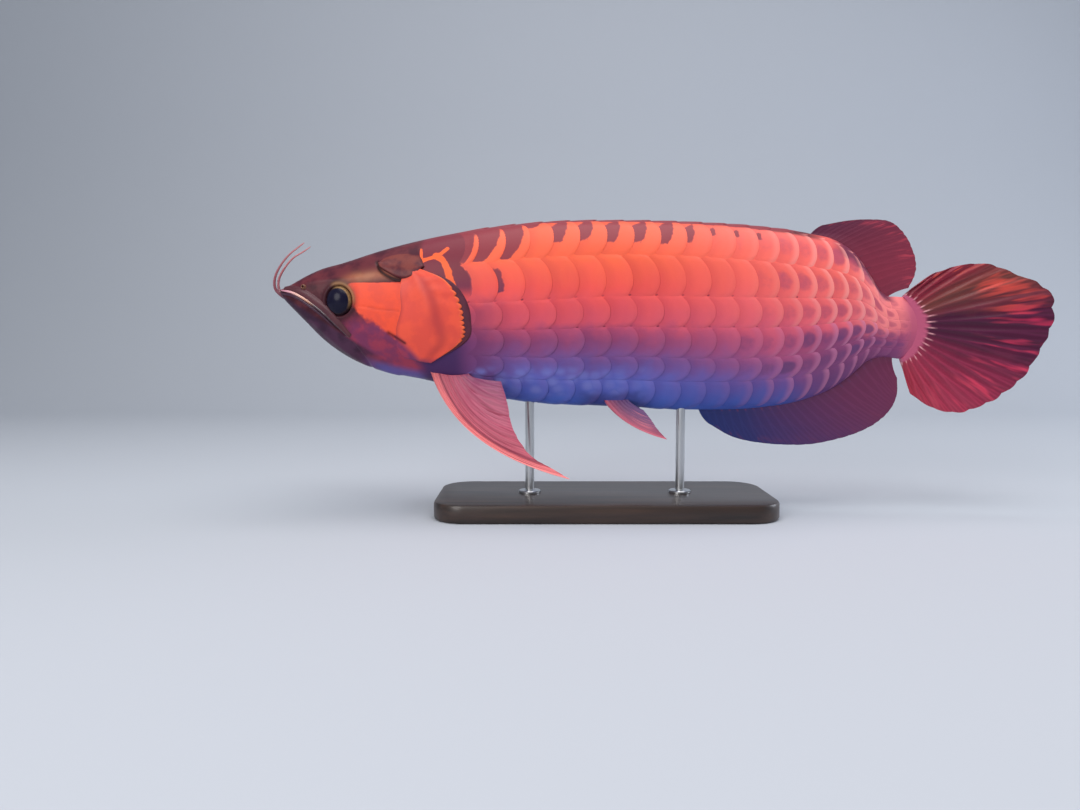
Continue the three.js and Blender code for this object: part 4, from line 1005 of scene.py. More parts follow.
# Lit: where the painted gold highlight lies on the iris, on its side toward the glint angle.
lit = smooth_step(np.cos(turn - GLINT_ANGLE), 0.1, 0.85) * (polar < np.pi / 2)
eye_masks = {"Away": np.sin(polar) + (polar > np.pi / 2), "Lit": lit}
eye_out = side_half(EYE["x"], EYE["z"]) + EYE["bulge"] - EYE["depth"]
for side, word in SIDES:
    middle = np.array([EYE["x"], side * eye_out, EYE["z"]])
    local = ball * [EYE["narrow"] * EYE["radius"] * EYE_FIT, EYE["depth"] * side, EYE["radius"] * EYE_FIT]
    spin = side * EYE["turn"]
    across = local[..., 0] * math.cos(spin) - local[..., 1] * math.sin(spin)
    deep = local[..., 0] * math.sin(spin) + local[..., 1] * math.cos(spin)
    eye_points = np.stack([across, deep, local[..., 2]], axis=-1) + middle
    quads, caps = ring_faces(EYE_RINGS, EYE_SIDES)
    eye = make_piece(f"{word}_eyeball", eye_points, quads, eye_glass, "eye", masks=eye_masks, caps=caps)
    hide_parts(f"eye_{word}")

# Barbels
# Two soft feelers on the tip of the lower jaw, which curve forward and up and taper to a fine end.
BARBEL_LEAN = {"left": 0, "right": 3}
BARBEL_TONES = [(0, (0.09, 0.035, 0.06)), (0.4, (0.3, 0.07, 0.09)), (1, (0.6, 0.2, 0.2))]
BARBEL_ROOT, BARBEL_END = 1.5, 0.4
BARBEL_TIP = [0.97, 0.85, 0.6, 0.2]
barbel_skin, tree, shader = new_material("barbel skin", 0.4, Coat_Weight=0.3)
paint(tree, shader, colour_ramp(tree, map_parts(tree, "Lie")[1], BARBEL_TONES))
for side, word in SIDES:
    lean = BARBEL_LEAN[word]
    corners = [
        (6, 2.6, 15), (1, 3.4, 18), (-3, 4.6, 23), (-2.4 - 0.3 * lean, 6.4, 31),
        (2.4 - 0.6 * lean, 8.6, 39.5), (9.6 - 0.9 * lean, 10.6, 47.5), (17 - lean, 12 + lean, 53),
        (22.5 - lean, 12.6 + lean, 57),
    ]
    share = np.linspace(0, 1, 70)
    path = line_through(corners)(share) * [1, side, 1]
    radii = BARBEL_ROOT + (BARBEL_END - BARBEL_ROOT) * share**0.8
    radii[-len(BARBEL_TIP):] *= BARBEL_TIP
    barbel = make_tube(f"{word}_barbel", path, radii, barbel_skin, "jaw_skin")
    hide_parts(f"barbel_{word}")

# Scales
# Large thin bony scales in seven rows on each side, laid like tiles from head to tail, each with a crowned
# face and a rounded free rim over the front of the next. They shrink towards the tail.
ROW_EDGES = np.array([0, 0.06, 0.285, 0.478, 0.605, 0.73, 0.84, 1])
ROW_EDGES_REAR = np.array([0, 0.06, 0.235, 0.39, 0.535, 0.69, 0.81, 1])
ROW_SHIFT = np.array([0.1, 0, 0, 0.08, 0.25, 0.5, 0.55])
LAST_ROW = len(ROW_SHIFT) - 1
RIDGE_AHEAD, BACK_SLANT = 0.5, 0.5
COLUMNS = 21
LONG_SCALE, SHORT_SCALE = 20.5, 10.5
SHRINK_FROM, SHRINK_TO = 5.5, 20
GILL_LINE, GILL_BOW = 120, 25
SCALES_SHORT = 8
SCALE_BOW = 0.3
SCALE_RISE = 0.036
SCALE_GRID = (16, 15)
TUCK = 0.34
OVERHANG = 1.08
SCALE_THICK = 0.7
STALK_SPAN = (456, 482)
scale_spread = smooth_step(np.arange(COLUMNS), SHRINK_FROM, SHRINK_TO)
scale_lengths = LONG_SCALE + (SHORT_SCALE - LONG_SCALE) * scale_spread
column_share = np.concatenate([[0], np.cumsum(scale_lengths) / scale_lengths.sum()])


def row_line(column, share):
    """Distance along of the base line of a column, which bows back from the gill opening to the tail."""
    bulge = np.sin(np.pi * share)
    gill, tail = GILL_LINE + GILL_BOW * bulge, TAIL_END + TAIL_BOW * bulge - SCALES_SHORT
    whole = np.clip(column, 0, COLUMNS)
    return gill + (tail - gill) * np.interp(whole, np.arange(COLUMNS + 1), column_share)


def back_pull(row, place):
    """How many scale lengths the row beside the back is drawn ahead at a place counted in scales along it."""
    return (row == 1) * (0.48 * smooth_step(place, 0, 1) + 0.25 * smooth_step(place, 2, 4.5))


def scale_places(row, column, t, v):
    """Distance and share of a scale's points: t from its hidden front to its rim, v across its row."""
    length = scale_lengths[column]
    reach = t * (1 + TUCK) - TUCK
    place = column + reach
    rearward = column_share[column] + reach * (column_share[column + 1] - column_share[column])
    low = ROW_EDGES[row] + (ROW_EDGES_REAR[row] - ROW_EDGES[row]) * rearward
    high = ROW_EDGES[row + 1] + (ROW_EDGES_REAR[row + 1] - ROW_EDGES[row + 1]) * rearward
    share = np.clip(low + (high - low) * (v + 1) / 2, 0, 1)
    bow = SCALE_BOW * (1 - np.abs(v) ** 2.3)
    slant = {0: RIDGE_AHEAD, 1: BACK_SLANT * np.maximum(1 - v, 0) / 2}.get(row, 0)
    ahead = (ROW_SHIFT[row] + bow + slant - back_pull(row, place)) * (1 - 0.8 * smooth_step(place, 15, 21))
    start = row_line(column, share)
    x = start + length * ahead + reach * (row_line(column + 1, share) - start)
    return x, share


def fin_strip(x, share):
    """1 on the trunk, 0 on the smooth strips where the dorsal and anal fins stand."""
    back = smooth_step(x, 390, 400) * (1 - smooth_step(share, 0.02, 0.08))
    keel = smooth_step(x, 308, 318) * smooth_step(share, 0.94, 0.99)
    return 1 - np.maximum(back, keel)


def scale_sheet(row, column, side, rng):
    """Upper and lower grids of one scale, with its maps and share round the body.

    The face rises from under the scale before it to the rim, is crowned across, and dips at the row's edges.
    """
    rearward = np.linspace(0, 1, SCALE_GRID[0]) ** 0.85
    t, v = np.meshgrid(rearward, np.linspace(-1, 1, SCALE_GRID[1]), indexing="ij")
    wide, out = v * OVERHANG, np.abs(v * OVERHANG)
    if row == 0:
        wide = out = (v + 1) / 2 * (1 + OVERHANG) - 1
    if row == LAST_ROW:
        wide = (v + 1) / 2 * (1 + OVERHANG) - OVERHANG
        out = -wide
    x, share = scale_places(row, column, t, wide)
    seen = np.clip(t * (1 + TUCK) - TUCK, 0, 1)
    hidden = 1 - smooth_step(t, 0.02, TUCK / (1 + TUCK))
    crown = 1 - 0.42 * smooth_step(out, 0.5, 1.1)
    flat = 1 - 0.8 * smooth_step(x, *STALK_SPAN)
    top = SCALE_RISE * scale_lengths[column] * seen**0.8 * crown * flat - 0.9 * hidden
    top = top - 0.55 * smooth_step(out, 1.0, OVERHANG) * (0.3 + 0.7 * seen)
    lift = 1 + rng.uniform(-0.12, 0.12)
    on_trunk = fin_strip(x, share)
    top = top * lift * on_trunk - 0.2 * (1 - on_trunk)
    rim = rounded_rim(np.minimum(1 - t, 0.12), 0.12)
    drawn = np.stack([np.ones_like(x), tail_taper(x, share), np.ones_like(x)], axis=-1)
    thick = SCALE_THICK * (1 - 0.6 * smooth_step(x, *STALK_SPAN))
    upper = body_point(x, share, top - 0.28 * (1 - rim), side) * drawn
    lower = body_point(x, share, top - thick + 0.22 * (1 - rim), side) * drawn
    lie = np.stack([x / LIE_LENGTH, share], axis=-1)
    own = np.stack([seen, (wide + 1) / 2], axis=-1)
    return upper, lower, lie, own, share


# The dark marks of the row beside the back, from the front: how far down each hangs, and how far back it
# reaches at the ridge. The shoulder's two marks: how far back each reaches, and its upper and lower limit.
MARK_HANG = [1.0, 1.05, 1.1, -0.5, 0.36, 0.32, 0.4, 0.44, 0.44, 0.3, -0.15]
MARK_REACH = [1.1, 1.05, 0.95, 0.95, 0.8, 0.74, 0.72, 0.72, 0.74, 0.5, 0.36]
SHOULDER_MARKS = [(0.02, -2.0, 0.7), (0.27, -0.7, 0.6)]
MARKED_COLUMNS = 13
# Place and stretch of a dark spot at each scale's front corner: painted shade in the gap where scale corners
# meet.
CORNER_SHADE_PLACE = (0.08, 0.97)
CORNER_SHADE_STRETCH = (22, 34, 1)
FLECK_STRETCH = (50, 17, 1)
RING_STRETCH = (0.9, 0.12, 1)
DULLEST_SCALE = (0.92, 0.9, 0.92)
HIDDEN_SHADE = (0.66, 0.5, 0.68)
RIM_TONES, LOW_RIM = ((0.96, 0.2, 0.15), (0.98, 0.36, 0.33)), (0.58, 0.2, 0.36)
MARK_TONES = (0.18, 0.032, 0.08), (0.27, 0.04, 0.055)
PATCH_TONES = (0.46, 0.08, 0.14), (0.12, 0.048, 0.16)
FLECK_BLUE = (0.2, 0.22, 0.6)
# Colour of the painted shade at the scale corners.
CORNER_SHADE_DARK = (0.12, 0.015, 0.035)
SCALE_RAGS = {"scale": 260, "detail": 3, "spread": 0.5}


def scale_marks(row, column, seen, wide):
    """How far inside the dark mark of its scale a point lies: 0.5 on the mark's edge, 1 well inside.

    A back scale's mark hangs from the ridge to a depth, is widest at the ridge, and from the fifth scale on
    leaves a bright triangle above it. A flank scale has a mark near the gill opening, and a round patch
    towards the tail.
    """
    mark = np.zeros_like(seen)
    if row == 0:
        mark += np.interp(column, [0, 11, 15], [1, 1, 0])
    if row == 1:
        hang, reach = (marks[min(column, len(marks) - 1)] for marks in (MARK_HANG, MARK_REACH))
        down = np.clip((wide + 1) / (hang + 1), 0, 2)
        short_of_edge = (reach * (1 - 0.6 * np.minimum(down, 1)) - seen) / 0.4
        inside = np.minimum(short_of_edge, (1 - down) * (hang + 1) / 0.5)
        if column > 3:
            inside = np.minimum(inside, (wide + 1) / 0.5 + seen / 0.75 - 1)
        mark += np.clip(0.5 + np.maximum(inside, (-0.9 - wide) / 0.2), 0, 1) * (column < MARKED_COLUMNS)
    if row == 2 and column < len(SHOULDER_MARKS):
        reach, high, low = SHOULDER_MARKS[column]
        inside = np.min([(reach - seen) / 0.4, (low - wide) / 0.5, (wide - high) / 0.5], axis=0)
        mark += np.clip(0.5 + inside, 0, 1) * (1 - 0.2 * column)
    tail = smooth_step(column + 1.2 * (row > 3), 9, 14) * (1 - 0.55 * smooth_step(column, 17.5, 20.5))
    round_away = np.hypot((seen - 0.3) / 0.5, wide / 0.72)
    patch = tail * (1 - smooth_step(round_away, 0.45, 1.15)) * (0 < row < LAST_ROW)
    return np.clip(mark, 0, 1), patch


scale_skin, tree, shader = new_material(
    "scale skin", 0.42, Specular_IOR_Level=0.2, Coat_Weight=0.04, Coat_Roughness=0.2
)
own, seen, _ = map_parts(tree, "Scale")
lie, lie_along, _ = map_parts(tree, "Lie")
high, low, rear = fish_height(tree), mask_value(tree, "Low"), mask_value(tree, "Rear")
dulling = mix_colours(tree, mask_value(tree, "Tone"), DULLEST_SCALE, (1.0, 1.0, 1.0))
ground = mix_colours(tree, 1.0, flank_colour(tree), dulling, "MULTIPLY")
shaded = mix_colours(tree, 1.0, ground, HIDDEN_SHADE, "MULTIPLY")
pale = mix_colours(tree, low, mix_colours(tree, rear, *RIM_TONES), LOW_RIM)
rim_strength = math_node(tree, "MULTIPLY_ADD", rear, 0.54, 0.06)
fleck_cells = add_node(
    tree, "ShaderNodeTexVoronoi", {"Vector": stretched(tree, lie, FLECK_STRETCH), "Scale": 1.0},
    voronoi_dimensions="2D",
).outputs
fleck_chance = add_node(tree, "ShaderNodeSeparateColor", {0: fleck_cells["Color"]}).outputs[0]
fleck = product(
    tree,
    smooth_range(tree, fleck_cells["Distance"], 0.66, 0.1),
    smooth_range(tree, fleck_chance, 0.0, 0.7, 0.35, 0.8),
    smooth_range(tree, high, -34, -42),
    smooth_range(tree, high, -61, -54),
    smooth_range(tree, lie_along, 0.62, 0.48),
)
# Distance from the scale's front corner, where the painted shade lies.
from_corner_shade = add_node(tree, "ShaderNodeVectorMath", {0: own, 1: (*CORNER_SHADE_PLACE, 0)}, operation="SUBTRACT").outputs[0]
from_corner_shade = stretched(tree, from_corner_shade, CORNER_SHADE_STRETCH)
corner_shade_away = add_node(tree, "ShaderNodeVectorMath", {0: from_corner_shade}, operation="LENGTH").outputs["Value"]
tone = layered(tree, ground, [
    (smooth_range(tree, seen, 0.0, 0.55, 0.36, 0.0), shaded),
    (product(tree, smooth_range(tree, seen, 0.55, 0.9), rim_strength), pale),
    (
        ragged_mask(tree, "Brown", (0.42, 0.58), **SCALE_RAGS),
        mix_colours(tree, smooth_range(tree, high, 12, 40), *MARK_TONES),
    ),
    (
        product(tree, ragged_mask(tree, "Patch", (0.1, 0.9), **SCALE_RAGS), 0.8),
        mix_colours(tree, low, *PATCH_TONES),
    ),
    (fleck, FLECK_BLUE),
    # Painted shade in the gap at the scale's front corner.
    (product(tree, smooth_range(tree, corner_shade_away, 1.2, 0.6), mask_value(tree, "Pores")), CORNER_SHADE_DARK),
])
rings = noise_value(tree, 60, 4, stretched(tree, own, RING_STRETCH))
relief = math_node(tree, "ADD", rings, noise_value(tree, 420, 4))
paint(tree, shader, tone, relief, 0.14, 0.0006)

ROW_GROUPS = {"upper": (0, 1, 2), "middle": (3, 4), "lower": (5, 6)}
BAKE_PATCH = np.array([0.7 / COLUMNS, 0.02])
BAKE_INNER = 0.003
INNER_AHEAD = 0.46
for side, word in SIDES:
    for label, rows in ROW_GROUPS.items():
        rng = np.random.default_rng(7 * rows[0] + 3 + side)
        sheets, maps, masks = [], {}, {}
        for row in rows:
            for column in range(COLUMNS):
                upper, lower, lie_map, own_map, share = scale_sheet(row, column, side, rng)
                sheets += [upper, lower]
                brown, patch = scale_marks(row, column, own_map[..., 0], own_map[..., 1] * 2 - 1)
                scale_masks = {
                    "Brown": brown,
                    "Patch": patch * rng.uniform(0.4, 1),
                    "Tone": rng.uniform(0, 1),
                    # Strength of the painted shade at the scale corners, on rows 2 and 3.
                    "Pores": rng.uniform(0.2, 0.9) * (row in (2, 3)),
                    "Rear": band(column, (8, 15), (16.5, 19.5)),
                    "Low": smooth_step(row, 2.6, 4.2),
                }
                around = 0.25 + side * (0.02 + 0.2 * (ROW_EDGES[row] + ROW_EDGES[row + 1]) / 2)
                root = np.array([(column + 0.5) / COLUMNS, around])
                inner_root = root + np.array([INNER_AHEAD / COLUMNS, 0])
                for middle, size in ((root, BAKE_PATCH), (inner_root, BAKE_INNER)):
                    scale_maps = {"Lie": lie_map, "Scale": own_map, "OFBake": middle + (own_map - 0.5) * size}
                    for key, value in scale_maps.items():
                        maps.setdefault(key, []).append(value)
                    for key, value in scale_masks.items():
                        masks.setdefault(key, []).append(np.broadcast_to(value, share.shape))
        arrays = [{key: np.array(value) for key, value in group.items()} for group in (maps, masks)]
        faces = sheet_faces(len(rows) * COLUMNS, *SCALE_GRID)
        make_piece(f"{word}_{label}_scales", np.array(sheets), faces, scale_skin, "scales", *arrays, sharp=65)

# Fins
# Each fin is a thin web over jointed bony rays, which split once or twice towards a slightly ragged margin.
# It grows out of the body at its root, and its rays stand out on both faces.
CAUDAL_HUB = np.array([475, -6])
CAUDAL_ANGLES = [57, 45, 34, 23, 12, 3, -8, -20, -40, -56, -74]
CAUDAL_RADII = [44, 66, 87, 104, 125, 124.4, 116, 108, 93.5, 81, 54]
CAUDAL_SPAN = (0.03, 0.97)
CAUDAL_SWAY = (4, 7)
DORSAL_TIP = [
    (417, 71.6), (438, 75.4), (457, 76.2), (470, 74.4), (479, 67), (485, 57), (488.8, 45), (488.4, 34),
    (483.5, 23.5),
]
ANAL_TIP = [
    (332, -81.5), (352, -92.4), (378, -97.6), (408, -98.4), (434, -93.6), (457, -84.6), (471, -73),
    (477.6, -60), (478, -46),
]
ROOT_DEPTH = 3.0
TEARS = 60
EVEN_OVER = 9
STREAK_STRETCH, ROOT_STRETCH, JOINT_STRETCH = (34, 2, 1), (17, 9, 1), (0.5, 90, 1)
WEB_SHADE = (0.45, 0.28, 0.4)


def in_plane(line, sway, turns):
    """A side-view line given depth: y = sway sin(turns s)."""
    return lambda s: np.stack([line(s)[..., 0], sway * np.sin(turns * s), line(s)[..., 1]], axis=-1)


def root_line(outline, start, end, away):
    """A line along the back (+1) or keel (-1), sunk into the body."""
    def line(s):
        x = start + (end - start) * s
        return np.stack([x, 0 * s, outline(x) - away * ROOT_DEPTH], axis=-1)
    return line


def caudal_root(s):
    """A line down the bowed end of the tail stalk, sunk into it."""
    share = CAUDAL_SPAN[0] + (CAUDAL_SPAN[1] - CAUDAL_SPAN[0]) * s
    x = TAIL_END + TAIL_BOW * np.sin(np.pi * share) - ROOT_DEPTH
    return look_up(BODY_POINTS, x, share) * [1, 0, 1]


caudal_radius = curve_through([-angle for angle in CAUDAL_ANGLES], CAUDAL_RADII)


def caudal_tip(s):
    """The tail fin's margin: hub + r(angle)(cos, sin), swaying 4 sin(7s) to the side."""
    angle = CAUDAL_ANGLES[0] + (CAUDAL_ANGLES[-1] - CAUDAL_ANGLES[0]) * s
    radius, turn = caudal_radius(-angle), np.radians(angle)
    x, z = CAUDAL_HUB[0] + radius * np.cos(turn), CAUDAL_HUB[1] + radius * np.sin(turn)
    sway, turns = CAUDAL_SWAY
    return np.stack([x, sway * np.sin(turns * s), z], axis=-1)


def middle_of(root, tip, push):
    """The line half way between root and tip, pushed by a function of s."""
    return lambda s: (root(s) + tip(s)) / 2 + np.stack(np.broadcast_arrays(*push(s)), axis=-1)


def ray_relief(s, t, rays):
    """Ridges exp(-(d/w)^2) with d the distance to the nearest ray, each split twice towards the margin."""
    phase = s * (rays - 1)
    away = np.abs(phase - np.round(phase))
    away = np.abs(away - 0.25 * smooth_step(t, 0.3, 0.75))
    away = np.abs(away - 0.12 * smooth_step(t, 0.6, 1.0))
    return mound(away, 0.17 - 0.11 * t)


def fin_sheet(shape, side, rng):
    """Both faces of a fin: a quadratic from root by bow to tip, thick at the root, with rays on the faces."""
    rays, across, along = shape["rays"], shape["across"], shape["along"]
    s, t = np.meshgrid(np.linspace(0, 1, across), np.linspace(0, 1, along), indexing="ij")
    phase = s * (rays - 1)
    torn = np.interp(s * TEARS, np.arange(TEARS + 1), rng.uniform(0, 1, TEARS + 1))
    notch = 0.012 * (1 - np.abs(np.cos(np.pi * phase)) ** 0.6) + 0.014 * torn
    reach = (t * (1 - notch * shape.get("ragged", 1)))[..., None]
    root, bow, tip = (shape[key](s) for key in ("root", "bow", "tip"))
    centre = root * (1 - reach) ** 2 + 2 * bow * (reach * (1 - reach)) + tip * reach**2
    normal = np.cross(np.gradient(centre, axis=0), np.gradient(centre, axis=1))
    padded = np.pad(normal, [(EVEN_OVER // 2, EVEN_OVER // 2), (0, 0), (0, 0)], mode="edge")
    kernel = np.ones(EVEN_OVER) / EVEN_OVER
    normal = np.apply_along_axis(lambda line: np.convolve(line, kernel, "valid"), 0, padded)
    normal /= np.linalg.norm(normal, axis=-1, keepdims=True)
    pleat = shape["pleat"] * np.cos(2 * np.pi * phase) * smooth_step(t, 0.05, 0.5)
    bare_root = shape.get("bare_root", 0)
    relief = ray_relief(s, t, rays) * smooth_step(t, bare_root - 0.02, bare_root + 0.03)
    base = shape["root_thick"] + (shape["web"] - shape["root_thick"]) * smooth_step(t, 0, 0.3)
    half = (base * (1 - 0.35 * t) + (shape["ray"] - shape["web"]) * relief * (1 - 0.6 * t)) / 2
    lead = smooth_step(1 - s, 0.93, 1) * shape.get("lead", 0) * (1 - 0.7 * t)
    half = (half + lead) * (1 - 0.55 * smooth_step(t, 0.94, 1))
    upper = centre + normal * (pleat + half)[..., None]
    lower = centre + normal * (pleat - half)[..., None]
    maps = {"Lie": np.stack([np.stack([s, t], axis=-1)] * 2)}
    masks = {"Ray": np.stack([relief, relief])}
    return np.stack([upper, lower]) * [1, side, 1], sheet_faces(1, across, along), maps, masks


def fin_material(name, tones_across, web_dark, bright, root_tone, streaks, fleshy=None):
    """A fin's finish: colours across it, darker webs, bright streaks along the rays and pale or fleshy roots.

    streaks: how far out they start, where across the fin they fade, and the share that is left beyond.
    """
    material, tree, shader = new_material(
        name, 0.42, Specular_IOR_Level=0.25, Coat_Weight=0.08, Coat_Roughness=0.2
    )
    lie, lie_across, lie_out = map_parts(tree, "Lie")
    ray = mask_value(tree, "Ray")
    even = math_node(tree, "SUBTRACT", lie_across, 0.04)
    across = math_node(tree, "MULTIPLY_ADD", noise_value(tree, 6, 3, lie), 0.08, even)
    tone = colour_ramp(tree, across, tones_across)
    streaks_out, streaks_across, streaks_left = streaks
    streak = noise_value(tree, 1, 2, stretched(tree, lie, STREAK_STRETCH))
    lit = product(
        tree,
        smooth_range(tree, streak, 0.52, 0.68, 0.0, 0.85),
        smooth_range(tree, lie_out, streaks_out, streaks_out + 0.35),
        smooth_range(tree, lie_across, streaks_across, streaks_across + 0.12, 1.0, streaks_left),
    )
    patchy = noise_value(tree, 1, 3, stretched(tree, lie, ROOT_STRETCH))
    foot = product(
        tree,
        smooth_range(tree, lie_out, 0.17, 0.11),
        smooth_range(tree, ray, 0.3, 0.8),
        smooth_range(tree, patchy, 0.35, 0.62, 0.1, 0.95),
    )
    web_tone = mix_colours(tree, 1.0, tone, WEB_SHADE, "MULTIPLY")
    layers = [
        (smooth_range(tree, ray, 0.15, 0.8, web_dark, 0.0), web_tone),
        (lit, bright if isinstance(bright, tuple) else colour_ramp(tree, across, bright)),
        (foot, root_tone),
    ]
    if fleshy:
        edge = math_node(tree, "MULTIPLY_ADD", patchy, 0.1, math_node(tree, "SUBTRACT", lie_out, 0.05))
        layers.append((smooth_range(tree, edge, 0.11, 0.06), fleshy))
    joints = noise_value(tree, 1, 2, stretched(tree, lie, JOINT_STRETCH))
    paint(tree, shader, layered(tree, tone, layers), joints, 0.25, 0.0005)
    return material


TAIL_FIN_TONES = [
    (0, (0.22, 0.014, 0.035)), (0.14, (0.28, 0.018, 0.042)), (0.25, (0.21, 0.055, 0.045)),
    (0.34, (0.17, 0.028, 0.045)), (0.39, (0.085, 0.01, 0.042)), (0.52, (0.095, 0.011, 0.045)),
    (0.62, (0.24, 0.022, 0.065)), (0.82, (0.43, 0.04, 0.09)), (1, (0.47, 0.042, 0.075)),
]
TAIL_FIN_STREAKS = [
    (0.2, (0.72, 0.085, 0.06)), (0.35, (0.74, 0.075, 0.06)), (0.42, (0.66, 0.03, 0.1)),
    (1, (0.62, 0.07, 0.11)),
]
DORSAL_TONES = [
    (0, (0.11, 0.024, 0.06)), (0.4, (0.17, 0.026, 0.055)), (0.8, (0.25, 0.03, 0.06)), (1, (0.22, 0.03, 0.06))
]
ANAL_TONES = [
    (0, (0.014, 0.03, 0.16)), (0.22, (0.03, 0.03, 0.15)), (0.42, (0.09, 0.03, 0.12)),
    (0.7, (0.15, 0.03, 0.09)), (1, (0.17, 0.03, 0.08)),
]
PECTORAL_TONES = [
    (0, (0.96, 0.27, 0.26)), (0.17, (0.86, 0.18, 0.2)), (0.24, (0.25, 0.026, 0.06)),
    (0.31, (0.6, 0.11, 0.16)), (0.5, (0.46, 0.075, 0.13)), (0.62, (0.52, 0.1, 0.17)),
    (0.8, (0.42, 0.09, 0.16)), (1, (0.3, 0.075, 0.17)),
]
PELVIC_TONES = [
    (0, (0.66, 0.14, 0.2)), (0.2, (0.36, 0.085, 0.16)), (0.5, (0.2, 0.07, 0.17)), (1, (0.12, 0.06, 0.2))
]
caudal_finish = fin_material(
    "tail fin web", TAIL_FIN_TONES, 0.36, TAIL_FIN_STREAKS, (0.9, 0.42, 0.45), (0.38, 0.8, 0.5), STALK_ROSE
)
dark_finish = fin_material(
    "dark fin web", DORSAL_TONES, 0.12, (0.5, 0.055, 0.09), (0.17, 0.028, 0.055), (0.6, 0.9, 0.8)
)
anal_finish = fin_material(
    "anal fin web", ANAL_TONES, 0.2, (0.25, 0.04, 0.08), (0.12, 0.032, 0.1), (0.7, 0.2, 0.3)
)
pale_finish = fin_material(
    "paired fin web", PECTORAL_TONES, 0.3, (0.24, 0.02, 0.055), (0.5, 0.12, 0.16), (0.05, 0.75, 0.2)
)
pelvic_finish = fin_material(
    "pelvic fin web", PELVIC_TONES, 0.2, (0.7, 0.18, 0.24), (0.2, 0.08, 0.24), (0.3, 0.7, 0.2)
)

dorsal_root, dorsal_tip = root_line(top_of, 406, 466, 1), in_plane(line_through(DORSAL_TIP), 2.2, 5)
anal_root, anal_tip = root_line(bottom_of, 323, 473, -1), in_plane(line_through(ANAL_TIP), 2, 6)
dorsal_bow = middle_of(dorsal_root, dorsal_tip, lambda s: (-1.5, 0, 2))
anal_bow = middle_of(anal_root, anal_tip, lambda s: (-2, 0, -2))
caudal_bow = middle_of(caudal_root, caudal_tip, lambda s: (0, 0, 4 - 8 * s))
PECTORAL_RAYS = {
    "rays": 10, "across": 145, "along": 90, "root_thick": 4.4, "web": 0.9, "ray": 1.5, "pleat": 0.15,
    "lead": 0.7, "ragged": 0.5,
}
pectoral_root = line_through([(117, 12, -41), (131, 15, -43.5), (146, 18, -43.5)])
spread_pectoral = PECTORAL_RAYS | {
    "root": pectoral_root,
    "tip": line_through([
        (222.3, 62, -115.2), (209, 57, -108), (195, 52, -100.6), (185, 45.5, -89), (179, 39, -77),
        (175.6, 33, -61), (171, 29, -47),
    ]),
    "bow": line_through([(138, 38, -98), (146, 33, -80), (156, 26.5, -46)]),
}
folded_pectoral = PECTORAL_RAYS | {
    "root": pectoral_root,
    "tip": line_through([
        (246, 29, -62), (236, 29.5, -56), (222, 30, -49), (208, 30, -42.5), (196, 30, -37), (186, 29.5, -33),
        (176, 29, -31),
    ]),
    "bow": line_through([(175, 29, -72), (170, 27, -54), (162, 27, -40)]),
}
pelvic = {
    "root": line_through([(247, 4.5, -59.5), (256, 5.5, -59.5), (265, 6, -59.5)]),
    "tip": line_through([(296, 26, -91), (289, 23.4, -83.5), (284, 19.4, -76), (279, 15.6, -69.6)]),
    "bow": line_through([(261, 17, -83), (267, 14, -75), (271, 11.5, -66.4)]),
    "rays": 7, "across": 97, "along": 50, "root_thick": 3.4, "web": 0.9, "ray": 1.4, "pleat": 0.1,
    "lead": 0.3, "ragged": 0.5,
}
FINS = {
    "dorsal_fin": (1, dark_finish, "dark_fin", {
        "root": dorsal_root, "tip": dorsal_tip, "bow": dorsal_bow,
        "rays": 19, "across": 217, "along": 70, "root_thick": 3, "web": 0.8, "ray": 1.0, "pleat": 0.03,
        "ragged": 0.7,
    }),
    "anal_fin": (1, anal_finish, "dark_fin", {
        "root": anal_root, "tip": anal_tip, "bow": anal_bow,
        "rays": 26, "across": 301, "along": 64, "root_thick": 3, "web": 0.8, "ray": 1.0, "pleat": 0.03,
        "ragged": 0.5,
    }),
    "caudal_fin": (1, caudal_finish, "dark_fin", {
        "root": caudal_root, "tip": caudal_tip, "bow": caudal_bow,
        "rays": 18, "across": 307, "along": 110, "root_thick": 5, "web": 0.85, "ray": 1.6, "pleat": 0.7,
        "bare_root": 0.06,
    }),
    "pectoral_fin_right": (1, pale_finish, "pale_fin", folded_pectoral),
    "pectoral_fin_left": (-1, pale_finish, "pale_fin", spread_pectoral),
    "pelvic_fin_right": (1, pelvic_finish, "pale_fin", pelvic),
    "pelvic_fin_left": (-1, pelvic_finish, "pale_fin", pelvic),
}
for fin_node, (side, finish, slot, shape) in FINS.items():
    points, faces, maps, masks = fin_sheet(shape, side, np.random.default_rng(len(fin_node)))
    fin = make_piece(fin_node + "_web", points, faces, finish, slot, maps, masks, sharp=80)
    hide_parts(fin_node)

# Floor and light
# A pale floor that turns up into a pale wall behind, under a large soft light above and two at the sides.
FLOOR_HALF, FLOOR_AHEAD = 3.2, 3.0
WALL_AWAY, WALL_HIGH, BEND = 1.5, 2.6, 0.7
ROOM_TINT, ROOM_GLOW = (0.7, 0.76, 0.85, 1), 0.36
pale_paper = new_material("pale paper", 0.95, (0.5, 0.53, 0.58), Specular_IOR_Level=0.2)[0]
turn = np.linspace(0, np.pi / 2, 24)
sweep = np.concatenate([
    [(-FLOOR_AHEAD, 0.0)],
    np.stack([WALL_AWAY - BEND + BEND * np.sin(turn), BEND - BEND * np.cos(turn)], axis=-1),
    [(WALL_AWAY, WALL_HIGH)],
])
across = np.linspace(-FLOOR_HALF, FLOOR_HALF, 2)
floor_points = np.array([[(x, y, z) for x in across] for y, z in sweep])
floor_mesh = bpy.data.meshes.new("floor")
floor_mesh.from_pydata(floor_points.reshape(-1, 3), [], grid_faces(len(sweep), 2).tolist())
floor_mesh.shade_smooth()
floor_mesh.materials.append(pale_paper)
floor = bpy.data.objects.new("floor", floor_mesh)
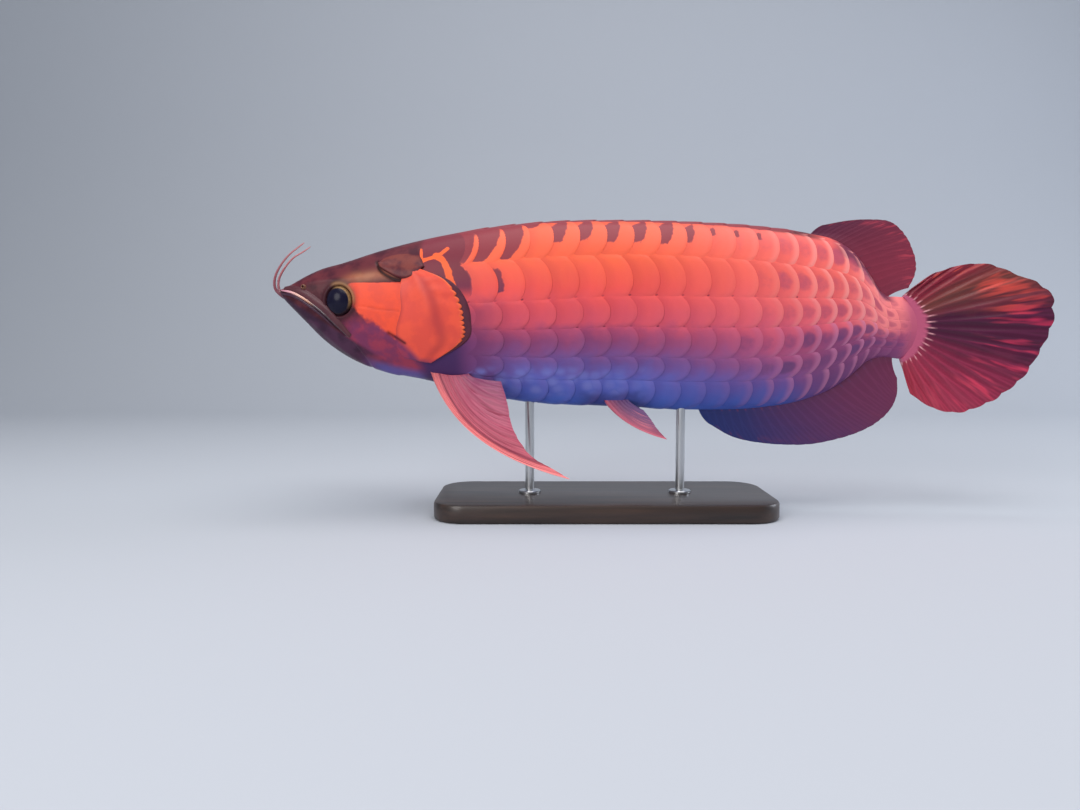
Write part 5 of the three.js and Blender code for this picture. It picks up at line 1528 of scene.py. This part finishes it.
bpy.context.scene.collection.objects.link(floor)

# Each light's place, what it looks at, its size in metres, its power in watts and its tint.
LIGHTS = [
    ("overhead light", (0.1, -0.25, 1.5), (0.0, -0.02, 0.15), 1.6, 20, (1.0, 0.98, 0.97)),
    ("front light", (-0.9, -1.3, 0.75), (-0.05, 0, 0.15), 1.0, 13.5, (1.0, 0.97, 0.95)),
    ("far light", (1.9, 0.3, 0.7), (0.05, 0, 0.15), 1.0, 15, (0.85, 0.9, 1.0)),
]
for name, place, aim, size, power, tint in LIGHTS:
    lamp = bpy.data.lights.new(name, "AREA")
    lamp.shape, lamp.size, lamp.energy, lamp.color = "DISK", size, power, tint
    light = bpy.data.objects.new(name, lamp)
    way = np.array(aim) - place
    light.location = place
    light.rotation_euler = (
        math.atan2(math.hypot(way[0], way[1]), -way[2]), 0, math.atan2(way[1], way[0]) - math.pi / 2
    )
    bpy.context.scene.collection.objects.link(light)
world = bpy.data.worlds.new("room")
world.use_nodes = True
world.node_tree.nodes["Background"].inputs["Color"].default_value = ROOM_TINT
world.node_tree.nodes["Background"].inputs["Strength"].default_value = ROOM_GLOW
bpy.context.scene.world = world
bpy.context.scene.view_settings.view_transform = "Standard"

# Camera
# The fish is seen from its left side, from ahead of its middle and a little below it, through a wide lens
# tipped slightly down, with the picture taken as 1080 x 810.
PICTURE_WIDE, PICTURE_HIGH, FOCAL, LEVEL_ROW = 1080, 810, 831, 335
CAMERA_PLACE = (200, -647, -12.5)
SENSOR_WIDE = 36
camera_data = bpy.data.cameras.new("camera")
camera_data.sensor_width = SENSOR_WIDE
camera_data.lens = SENSOR_WIDE * FOCAL / PICTURE_WIDE
camera_data.clip_start = 0.02
camera = bpy.data.objects.new("camera", camera_data)
camera.location = (np.array(CAMERA_PLACE) + FISH_ORIGIN) * MM
camera.rotation_euler = (math.pi / 2 - math.atan((PICTURE_HIGH / 2 - LEVEL_ROW) / FOCAL), 0, 0)
bpy.context.scene.collection.objects.link(camera)
bpy.context.scene.camera = camera
